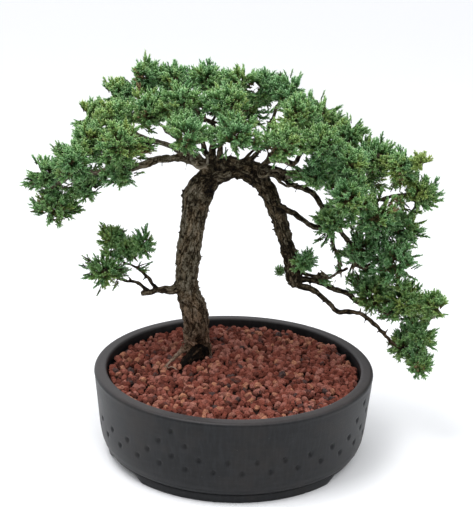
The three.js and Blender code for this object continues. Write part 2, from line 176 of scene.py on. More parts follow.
class Finish(Tree):  # a material around one Principled shader
    def __init__(self, name, **values):
        self.material = bpy.data.materials.new(name)
        self.material.use_nodes = True
        super().__init__(self.material.node_tree)
        self.shader = self.nodeTree.nodes['Principled BSDF']
        for key, value in values.items():
            self.shader.inputs[key.replace('_', ' ')].default_value = value

    def feed(self, name, wire):
        self.nodeTree.links.new(wire.socket, self.shader.inputs[name])

    def bump(self, height, strength, distance):
        inputs = {'Height': height, 'Strength': strength, 'Distance': distance}
        self.feed('Normal', self.node('ShaderNodeBump', None, inputs, 'Normal'))


class Growth(Tree):  # a geometry tree with named inputs, run on an object
    def __init__(self, name, **inputs):
        super().__init__(bpy.data.node_groups.new(name, 'GeometryNodeTree'))
        self.sockets = {}
        for given, kind in {'Geometry': 'Geometry', 'Material': 'Material', **inputs}.items():
            self.sockets[given] = self.nodeTree.interface.new_socket(
                given, in_out='INPUT', socket_type='NodeSocket' + kind)
        self.nodeTree.interface.new_socket('Geometry', in_out='OUTPUT', socket_type='NodeSocketGeometry')
        self.start = self.nodeTree.nodes.new('NodeGroupInput')
        self.end = self.nodeTree.nodes.new('NodeGroupOutput')

    def given(self, name):
        return Wire(self, self.start.outputs[name])

    def named(self, name, dataType='FLOAT'):
        return self.node('GeometryNodeInputNamedAttribute', {'data_type': dataType}, {'Name': name})

    def randomValue(self, low, high, seed, dataType='FLOAT'):
        made = self.nodeTree.nodes.new('FunctionNodeRandomValue')
        made.data_type = dataType
        shown = [socket for socket in made.inputs if socket.enabled]
        for socket, value in zip(shown, (low, high)):
            self.plug(value, socket)
        self.plug(seed, made.inputs['Seed'])
        return Wire(self, next(socket for socket in made.outputs if socket.enabled))

    def copies(self, points, collection, kindCount, seed, turn, size):  # one of the kinds on every point
        kinds = self.node('GeometryNodeCollectionInfo', None, {
            'Collection': collection, 'Separate Children': True, 'Reset Children': True})
        return self.node('GeometryNodeInstanceOnPoints', None, {
            'Points': points, 'Instance': kinds, 'Pick Instance': True,
            'Instance Index': self.randomValue(0, kindCount - 1, seed, 'INT'), 'Rotation': turn, 'Scale': size})

    def finish(self, geometry):
        solid = self.node('GeometryNodeRealizeInstances', None, {0: geometry})
        dressed = self.node('GeometryNodeSetMaterial', None, {0: solid, 'Material': self.given('Material')})
        self.nodeTree.links.new(dressed.socket, self.end.inputs['Geometry'])

    def grow(self, source, name, material, **values):
        modifier = source.modifiers.new(name, 'NODES')
        modifier.node_group = self.nodeTree
        for key, value in {'Material': material, **values}.items():
            modifier[self.sockets[key].identifier] = value
        bpy.context.view_layer.update()
        evaluated = source.evaluated_get(bpy.context.evaluated_depsgraph_get())
        mesh = bpy.data.meshes.new_from_object(evaluated)
        mesh.name = name
        source.modifiers.remove(modifier)
        bpy.data.objects.remove(source)
        return addObject(name, mesh)


def newObject(name, vertices, faces, smooth=True):
    mesh = bpy.data.meshes.new(name)
    mesh.from_pydata(vertices, [], faces)
    mesh.validate()
    mesh.shade_smooth() if smooth else mesh.shade_flat()
    return addObject(name, mesh)


def readValues(items, field, width=1, kind=np.float32):  # one row for every item
    values = np.empty(len(items) * width, dtype=kind)
    items.foreach_get(field, values)
    return values.reshape(-1, width) if width > 1 else values


def keepValues(mesh, name, rows):  # numbers or vectors for every point
    rows = np.asarray(rows, dtype=np.float32)
    kind, field = ('FLOAT_VECTOR', 'vector') if rows.ndim > 1 else ('FLOAT', 'value')
    mesh.attributes.new(name, kind, 'POINT').data.foreach_set(field, rows.ravel())


def pointCloud(name, places, **attributes):
    made = newObject(name, [tuple(place) for place in places], [])
    for key, rows in attributes.items():
        keepValues(made.data, key, rows)
    return made


def paint(piece, material):
    piece.data.materials.clear()
    piece.data.materials.append(material)


def dress(piece, material, node):
    paint(piece, material)
    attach(piece, 'root')
    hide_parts(node)


view = {
    'place': (0.0, -1.1976, 0.5987),
    'downDegrees': 17.634,
    'rollDegrees': 1.346,
    'lens': 85.1,  # for a frame 473 wide and 507 high
}


def makeCamera():
    down = math.radians(view['downDegrees'])
    roll = math.radians(view['rollDegrees'])
    forward = Vector((0, math.cos(down), -math.sin(down)))
    right = Vector((1, 0, 0))
    up = right.cross(forward)
    turnedRight = right * math.cos(roll) + up * math.sin(roll)
    turnedUp = up * math.cos(roll) - right * math.sin(roll)
    camera = addObject('camera', bpy.data.cameras.new('camera'))
    camera.data.lens = view['lens']
    camera.data.sensor_width = 36.0
    camera.data.clip_end = 20.0
    camera.matrix_world = Matrix.Translation(view['place']) @ Matrix(
        (turnedRight, turnedUp, -forward)).transposed().to_4x4()
    bpy.context.scene.camera = camera


studio = {
    'floorSize': 12.0,
    'floorColour': (0.955, 0.96, 0.975, 1),
    'floorMottle': (0.97, 0.97, 0.975, 1),
    'skyColour': (0.98, 0.99, 1.01, 1),
    'skySeen': 1.1,  # strengths from here on
    'sideLight': 1.15,
    'frontLight': 0.14,
    'topLight': 1.25,
    'rightBackLoss': 0.85,
    'aim': (0, 0, 0.2),
    'lamps': {  # place, power, size
        'key': ((-0.4, -0.3, 1.5), 13.0, 0.7),
        'fill': ((0.9, -0.5, 1.3), 4.5, 1.2),
    },
}


def makeWorld():  # white all round for the camera, dimmer from the front for the light on the object
    world = bpy.data.worlds.new('studio')
    bpy.context.scene.world = world
    world.use_nodes = True
    tree = Tree(world.node_tree)
    towards = tree.node('ShaderNodeTexCoord', output='Generated')
    across, front, high = tree.part(towards, 'X'), tree.part(towards, 'Y') * -1.0, tree.part(towards, 'Z')
    facing = (front * 1.6).clamped() * (1.0 - high * 1.2).clamped()
    level = studio['sideLight'] + facing * (studio['frontLight'] - studio['sideLight'])
    light = level + high.clamped() * (studio['topLight'] - studio['sideLight'])
    seen = tree.node('ShaderNodeLightPath', output='Is Camera Ray')
    sky = world.node_tree.nodes['Background']
    sky.inputs['Color'].default_value = studio['skyColour']
    rightBack = (across * 5.0).clamped() * (front * -2.0 - 0.4).clamped() * studio['rightBackLoss']
    tree.plug(light * (1.0 - rightBack) * (1.0 - seen) + seen * studio['skySeen'], sky.inputs['Strength'])


def makeStudio():
    half = studio['floorSize'] / 2
    corners = [(-half, -half, 0), (half, -half, 0), (half, half, 0), (-half, half, 0)]
    floor = newObject('floor', corners, [(0, 1, 2, 3)], smooth=False)
    paper = Finish('palePaper', Roughness=0.85)
    shade = paper.clouds(paper.objectPlace(), 6.0)
    paper.feed('Base Color', paper.blend(shade * 0.06, studio['floorColour'], studio['floorMottle']))
    paint(floor, paper.material)
    makeWorld()
    for kind, (place, power, size) in studio['lamps'].items():
        lamp = bpy.data.lights.new(kind, 'AREA')
        lamp.energy = power
        lamp.size = size
        aim = Vector(studio['aim']) - Vector(place)
        turn = aim.to_track_quat('-Z', 'Y').to_matrix().to_4x4()
        addObject(kind, lamp).matrix_world = Matrix.Translation(place) @ turn


makeCamera()
makeStudio()
bpy.context.scene.view_settings.view_transform = 'Standard'
print('camera and studio made')


pot = {  # mm
    'turns': 640,
    'height': 93.0,
    'rimOuter': 150.0,
    'rimInner': 136.5,
    'rimRound': 3.4,
    'rimInnerRound': 2.4,
    'drainRadius': 14.0,
    'floorTop': 17.5,
    'wallRow': 1.5,
    'lowRow': 0.7,
    'lowRowsTo': 14.0,
    'wall': {  # height and outer radius
        9.8: 136.6, 11.0: 138.3, 14.0: 140.2, 20.0: 142.4, 28.0: 143.9, 36.0: 144.9, 50.0: 146.2, 64.0: 147.5,
        78.0: 148.9, 90.0: 149.8},
    'inside': [(134.4, 46.0), (133.2, 34.0), (131.0, 25.0), (127.0, 20.0), (121.0, 17.9)],
    'wobble': [(3, 0.05, 0.0, 0.072), (7, 0.0, 1.3, 0.048)],  # waves a turn, slant, start, height
}

foot = {
    'steps': 540,
    'height': 9.5,
    'outer': 136.0,
    'inner': 121.2,
    'gapDegrees': 30.0,
    'gapHeight': 6.5,
    'gapSlope': 6.5,  # degrees
    'turnDegrees': 2.4,
}

dent = {
    'perTurn': 32,
    'radius': 3.3,
    'depth': 1.9,
    'sharpness': 2.6,
    'lip': 0.12,
    'lipPlace': 1.18,  # in dent radii
    'lipWidth': 0.16,
    'rowHeights': (38.0, 50.0, 64.0, 78.0),
    'fullRows': 2,
    'rowRadius': 147.0,
    'turnDegrees': -1.4,
    'peaks': 4,
    'peakStart': -2,
}


def arcPoints(centreR, centreZ, radius, startDegrees, endDegrees, steps):
    return [(centreR + radius * math.cos(math.radians(a)), centreZ + radius * math.sin(math.radians(a)))
            for a in np.linspace(startDegrees, endDegrees, steps)]


def potProfile():  # radius and height, from the drain hole out, up, over the rim and down the inside
    top, inner, low, floor = pot['height'], pot['rimInner'], foot['height'], pot['floorTop']
    drain, outerRound, innerRound = pot['drainRadius'], pot['rimRound'], pot['rimInnerRound']
    rows = [(drain, low + 0.6), (drain + 0.6, low), (60.0, low), (110.0, low), (133.0, low), (135.4, low + 0.1)]
    heights, radii = list(pot['wall']), list(pot['wall'].values())
    z = heights[0]
    while z < top - 4.2:
        rows.append((float(np.interp(z, heights, radii)), z))
        z += pot['lowRow'] if z < pot['lowRowsTo'] else pot['wallRow']
    rows += arcPoints(pot['rimOuter'] - outerRound, top - outerRound, outerRound, 4, 86, 7)
    rows += [(inner + 8, top + 0.05), (inner + 4.4, top - 0.05)]
    rows += arcPoints(inner + innerRound, top - innerRound, innerRound, 96, 176, 5)
    rows += [(inner - 0.2, top - 8), (inner - 0.8, 74.0), *pot['inside']]
    rows += [(110.0, floor), (60.0, floor), (drain + 0.8, floor), (drain, floor - 0.8)]
    return rows


def dentPlaces():  # angle in degrees from +X and height of every dent
    step = 360 / dent['perTurn']
    places = []
    for level, height in enumerate(dent['rowHeights']):
        start = dent['turnDegrees'] - 90 - (step / 2 if level % 2 == 0 else 0)
        if level < dent['fullRows']:
            places += [(start + number * step, height) for number in range(dent['perTurn'])]
            continue
        for peak in range(dent['peaks']):
            first = start + peak * 360 / dent['peaks'] + dent['peakStart'] * step
            places += [(first + number * step, height) for number in range(4 - level)]
    return places


def closedFaces(rows, columns):  # quads between rows of points, closed both ways
    faces = []
    for row in range(rows):
        nextRow = (row + 1) % rows
        for column in range(columns):
            nextColumn = (column + 1) % columns
            faces.append((row * columns + column, row * columns + nextColumn,
                          nextRow * columns + nextColumn, nextRow * columns + column))
    return faces


def makePot():
    profile = np.array(potProfile())
    turns = pot['turns']
    ring = np.repeat(profile[:, :1], turns, 1)
    level = np.repeat(profile[:, 1:], turns, 1)
    turn = np.repeat((np.arange(turns) / turns * 2 * math.pi)[None, :], len(profile), 0)
    outside = (ring > 137.5) & (level > 14) & (level < pot['height'] - 4)
    hollow = np.zeros_like(ring)
    for degrees, height in dentPlaces():
        across = (turn - math.radians(degrees) + math.pi) % (2 * math.pi) - math.pi
        away = np.hypot(across * dent['rowRadius'], level - height) / dent['radius']
        hollow = np.maximum(hollow, np.clip(1 - away ** dent['sharpness'], 0, 1) * dent['depth'])
        lip = np.exp(-((away - dent['lipPlace']) / dent['lipWidth']) ** 2) * dent['lip']
        hollow = np.where(away > 1, hollow - lip, hollow)
    wobble = sum(height * np.sin(turn * waves + level * slant + start)
                 for waves, slant, start, height in pot['wobble'])
    hollow = np.where(outside, hollow, 0)
    ring = ring - hollow - np.where(outside, 0.12 + wobble, 0)
    places = np.stack([ring * np.cos(turn), ring * np.sin(turn), level], -1).reshape(-1, 3) * mm
    body = newObject('clayPot', [tuple(place) for place in places], closedFaces(len(profile), turns))
    feet = makeFeet()
    joined = bmesh.new()
    for part in (body, feet):
        joined.from_mesh(part.data)
    joined.to_mesh(body.data)
    joined.free()
    body.data.shade_smooth()
    bpy.data.objects.remove(feet)
    marks = np.zeros(len(body.data.vertices))
    marks[:hollow.size] = hollow.ravel() / dent['depth']
    keepValues(body.data, 'hollow', marks)
    return body


def makeFeet():  # a ring under the wall, cut up into three feet from below
    inner, outer, high = foot['inner'], foot['outer'], foot['height'] + 0.02
    half = 60 - foot['gapDegrees'] / 2
    places = []
    for degrees in np.arange(foot['steps']) * 360 / foot['steps']:
        fromFoot = abs((degrees + 90 - foot['turnDegrees'] + 60) % 120 - 60)
        rise = min(1.0, max(0.0, (fromFoot - half + 1) / foot['gapSlope']))
        low = foot['gapHeight'] * (3 * rise ** 2 - 2 * rise ** 3)
        part = (high - low) / high
        section = [(inner + 0.2, high), (inner, low + 1.4 * part), (inner + 1.2, low), (outer - 2.0, low),
                   (outer - 0.6, low + 0.5 * part), (outer, low + 1.8 * part), (outer + 0.35, low + 6 * part),
                   (outer + 0.3, low + 8.4 * part), (outer - 0.5, high)]
        turn = math.radians(degrees)
        places += [(r * math.cos(turn) * mm, r * math.sin(turn) * mm, z * mm) for r, z in section]
    return newObject('footRing', places, closedFaces(foot['steps'], len(section)))


def clayFinish():
    clay = Finish('darkClay', Roughness=0.42, Specular_IOR_Level=0.22)
    place = clay.objectPlace()
    broad = clay.clouds(place, 26.0, 5.0, 0.6)
    fine = clay.clouds(place, 900.0, 3.0, 0.7)
    streaks = clay.clouds(clay.stretched(place, (1.0, 1.0, 4.5)), 60.0, 4.0, 0.6)
    scuffs = clay.clouds(clay.stretched(place, (1.0, 1.0, 0.12)), 330.0, 5.0, 0.7)
    brown = clay.mask(clay.clouds(place, 17.0, 4.0, 0.65), 0.5, 0.66)
    tone = clay.ramp(broad * 0.55 + streaks * 0.45, [
        (0.32, (0.0046, 0.005, 0.0058)), (0.5, (0.0076, 0.0081, 0.0091)), (0.68, (0.0135, 0.0139, 0.015))])
    specks = clay.ramp(clay.cells(place, 230.0), [(0.0, (1, 1, 1)), (0.085, (0, 0, 0))])
    rare = clay.mask(clay.clouds(place, 75.0, 2.0), 0.57, 0.62)
    rimTop = clay.mask(clay.part(place, 'Z') * 10.0, 0.912, 0.93)
    scuffed = clay.blend((scuffs * 3.0 - 1.35).clamped() * 0.5, tone, (0.026, 0.028, 0.032, 1))
    aged = clay.blend(brown * 0.45, scuffed, (0.021, 0.017, 0.0145, 1))
    # lighter, mottled band on the rim's top
    rimTopLighter = clay.blend(rimTop * (0.15 + scuffs * 0.3 + broad * 0.4), aged, (0.062, 0.053, 0.053, 1))
    dusty = clay.blend(specks * rare * (0.35 + rimTop * 0.4), rimTopLighter, (0.33, 0.31, 0.29, 1))
    # the dents are darkened towards near-black: painted shade in the hollows
    dark = clay.attribute('hollow', 'Fac')
    clay.feed('Base Color', clay.blend(dark * 0.3, dusty, (0.004, 0.004, 0.0045, 1)))
    clay.feed('Roughness', 0.3 + broad * 0.16 + scuffs * 0.14)
    clay.bump(fine * 0.5 + streaks * 0.5 + scuffs * 0.4 + specks * rare * 0.4, 0.3, 0.0006)
    return clay.material


potPiece = makePot()
dress(potPiece, clayFinish(), 'pot')
print('pot made', len(potPiece.data.polygons))


screen = {'width': 44.0, 'thickness': 1.2, 'bars': 15, 'barWidth': 0.9}


def plasticFinish():
    plastic = Finish('blackMeshPlastic', Roughness=0.55)
    grime = plastic.clouds(plastic.objectPlace(), 300.0, 4.0)
    plastic.feed('Base Color', plastic.ramp(grime, [(0.35, (0.008, 0.009, 0.009)), (0.7, (0.03, 0.026, 0.02))]))
    plastic.bump(grime, 0.2, 0.0002)
    return plastic.material


def soilFinish():
    soil = Finish('pottingSoil', Roughness=0.95)
    place = soil.objectPlace()
    grainyNoise = soil.cells(place, 420.0)
    lumps = soil.clouds(place, 160.0, 6.0, 0.65)
    soil.feed('Base Color', soil.ramp(lumps * 0.7 + grainyNoise * 0.3, [
        (0.25, (0.008, 0.005, 0.004)), (0.5, (0.03, 0.02, 0.013)), (0.75, (0.085, 0.06, 0.04))]))
    soil.bump(lumps + grainyNoise, 0.8, 0.002)
    return soil.material


def makeScreen(finish):
    tree = Growth('crossedBars')
    bars = tree.node('GeometryNodeInstanceOnPoints', None, {
        'Points': tree.given('Geometry'),
        'Instance': tree.node('GeometryNodeMeshCube', None, {
            'Size': (screen['width'] * mm, screen['barWidth'] * mm, screen['thickness'] * 0.5 * mm)}),
        'Rotation': tree.node('FunctionNodeEulerToRotation', None, {0: tree.named('turn', 'FLOAT_VECTOR')})})
    tree.finish(bars)
    low = pot['floorTop'] + 0.3
    places, turns = [], []
    reach = (screen['width'] - screen['barWidth']) / 2
    for shift in np.linspace(-reach, reach, screen['bars']):
        places += [(0, shift * mm, (low + screen['thickness'] * 0.25) * mm),
                   (shift * mm, 0, (low + screen['thickness'] * 0.75) * mm)]
        turns += [(0, 0, 0), (0, 0, math.pi / 2)]
    return tree.grow(pointCloud('barPlaces', places, turn=turns), 'drainScreen', finish)


meshPlastic = plasticFinish()
screenPiece = makeScreen(meshPlastic)
dress(screenPiece, meshPlastic, 'drain_screen')
paint(frame['nodes']['potting_soil'], soilFinish())
print('soil and screen made')


gravel = {
    'radius': 134.6,
    'topDepth': 2.4,
    'bedDepth': 4.5,
    'wallClear': 3.4,
    'grainKinds': 9,
    'spacing': 5.0,
    'grainSmall': 3.4,
    'grainLarge': 5.2,
    'jitter': 0.9,
    'seed': 17,
    'dips': [(-61, -12, 9, 2.0), (-60, -36, 6, 1.4), (-50, 14, 10, 1.2)],  # x, y, width, depth
}


def gravelCopy(name, depth, inset, topOnly):  # the solid's own top, lowered
    form = bmesh.new()
    form.from_mesh(frame['nodes']['lava_gravel'].data)
    bmesh.ops.remove_doubles(form, verts=form.verts, dist=1e-5)
    form.normal_update()
    middle = min(vertex.co.z for vertex in form.verts) + 3 * mm
    if topOnly:
        side = [face for face in form.faces if face.normal.z < 0.25 or face.calc_center_median().z < middle]
        bmesh.ops.delete(form, geom=side, context='FACES')
    narrower = 1 - inset / gravel['radius']
    for vertex in form.verts:
        if vertex.co.z > middle:
            x, y = vertex.co.x / mm, vertex.co.y / mm
            dip = sum(deep * math.exp(-((x - cx) ** 2 + (y - cy) ** 2) / width ** 2)
                      for cx, cy, width, deep in gravel['dips'])
            vertex.co.z -= (depth + dip) * mm
        vertex.co.x *= narrower
        vertex.co.y *= narrower
    return addObject(name, flatMesh(form, name))


def flatMesh(form, name):
    mesh = bpy.data.meshes.new(name)
    form.to_mesh(mesh)
    form.free()
    mesh.shade_flat()
    return mesh


def anyWay(chance, middle=(0, 0, 0), wide=(1, 1, 1)):  # a vector with a normal spread
    return Vector([chance.gauss(at, spread) for at, spread in zip(middle, wide)])


def makeGrainKinds():
    kinds = newCollection('grainKinds')
    for number in range(gravel['grainKinds']):
        chance = random.Random(gravel['seed'] + number)
        form = bmesh.new()
        bmesh.ops.create_icosphere(form, subdivisions=2, radius=1.0)
        cuts = [(anyWay(chance).normalized(), chance.uniform(0.5, 0.84)) for _ in range(8)]
        for vertex in form.verts:
            for direction, depth in cuts:
                over = vertex.co.dot(direction) - depth
                if over > 0:
                    vertex.co -= direction * over * 0.9
            knobs = noise.noise(vertex.co * 1.9 + Vector((number * 9, 0, 0)))
            vertex.co *= 1 + 0.3 * knobs
        kinds.objects.link(bpy.data.objects.new(f'grain{number}', flatMesh(form, 'grain')))
    return kinds


def makeGravel(finish):
    kinds = makeGrainKinds()
    tree = Growth('scatteredGrit', Grains='Collection', Spacing='Float', Small='Float', Large='Float',
                  Jitter='Vector', Seed='Int')
    seed = tree.given('Seed')
    points = tree.node('GeometryNodeDistributePointsOnFaces', {'distribute_method': 'POISSON'}, {
        'Mesh': tree.given('Geometry'), 'Distance Min': tree.given('Spacing'),
        'Density Max': 200000.0, 'Seed': seed})
    lower = tree.node('ShaderNodeVectorMath', {'operation': 'SCALE'}, {0: tree.given('Jitter'), 'Scale': -1.0})
    jitter = tree.randomValue(lower, tree.given('Jitter'), seed + 5, 'FLOAT_VECTOR')
    points = tree.node('GeometryNodeSetPosition', None, {'Geometry': points, 'Offset': jitter})
    size = tree.randomValue(tree.given('Small'), tree.given('Large'), seed)
    stretch = tree.randomValue((0.8, 0.8, 0.75), (1.2, 1.1, 1.0), seed, 'FLOAT_VECTOR')
    scaled = tree.node('ShaderNodeVectorMath', {'operation': 'SCALE'}, {0: stretch, 'Scale': size})
    spin = tree.randomValue((0.0, 0.0, 0.0), (6.28, 6.28, 6.28), seed, 'FLOAT_VECTOR')
    grains = tree.copies(points, tree.given('Grains'), gravel['grainKinds'], seed,
                         tree.node('FunctionNodeEulerToRotation', None, {0: spin}), scaled)
    tree.finish(tree.node('GeometryNodeStoreNamedAttribute', {'data_type': 'FLOAT', 'domain': 'INSTANCE'}, {
        'Geometry': grains, 'Name': 'tint', 'Value': tree.randomValue(0.0, 1.0, seed + 3)}))
    top = gravelCopy('gravelTop', gravel['topDepth'], gravel['wallClear'], True)
    made = tree.grow(top, 'lavaGravel', finish, Grains=kinds, Spacing=gravel['spacing'] * mm,
                     Small=gravel['grainSmall'] * mm, Large=gravel['grainLarge'] * mm,
                     Jitter=(0.0, 0.0, gravel['jitter'] * mm), Seed=gravel['seed'])
    removeCollection(kinds)
    return made


def lavaFinish():
    lava = Finish('redLava', Roughness=0.9, Specular_IOR_Level=0.25)
    place = lava.objectPlace()
    tint = lava.attribute('tint', 'Fac')
    pores = lava.cells(place, 850.0)
    pits = lava.clouds(place, 700.0, 5.0, 0.75)
    mottle = lava.clouds(place, 170.0, 3.0)
    tone = lava.ramp((tint * 0.86 + mottle * 0.22 + pits * 0.14) - 0.12, [
        (0.0, (0.045, 0.03, 0.029)), (0.07, (0.085, 0.05, 0.046)), (0.12, (0.12, 0.03, 0.019)),
        (0.36, (0.22, 0.052, 0.032)), (0.6, (0.3, 0.086, 0.058)), (0.8, (0.38, 0.145, 0.11)),
        (0.93, (0.48, 0.2, 0.11)), (1.0, (0.6, 0.36, 0.28))])
    pitted = lava.ramp(pores, [(0.1, (0.3, 0.26, 0.25)), (0.36, (1, 1, 1))])
    rough = lava.ramp(pits, [(0.3, (0.5, 0.45, 0.44)), (0.6, (1.04, 1.1, 1.12))])
    lava.feed('Base Color', lava.times(lava.blend(0.8, tone, pitted, 'MULTIPLY'), rough))
    lava.bump(pores * 0.8 + pits * 1.1 + mottle * 0.6, 0.9, 0.0013)
    return lava.material


def gritFinish():  # a near-black sheet under the grains: painted shade in the gaps between them
    gapShade = Finish('darkGrit', Roughness=0.97, Specular_IOR_Level=0.15)
    place = gapShade.objectPlace()
    grainyNoise = gapShade.clouds(place, 420.0, 5.0, 0.7)
    gapShade.feed('Base Color', gapShade.ramp(grainyNoise, [
        (0.34, (0.002, 0.0008, 0.0006)), (0.5, (0.007, 0.0024, 0.0018)), (0.68, (0.028, 0.009, 0.006))]))
    gapShade.bump(grainyNoise, 0.8, 0.0015)
    return gapShade.material


redLava = lavaFinish()
gravelPiece = makeGravel(redLava)
# a lowered copy of the gravel under the grains, near-black: painted shade in the gaps
gapShadePiece = gravelCopy('gravelBed', gravel['bedDepth'], 0.1, False)
dress(gravelPiece, redLava, 'lava_gravel')
dress(gapShadePiece, gritFinish(), 'lava_gravel')
print('gravel made', len(gravelPiece.data.polygons))


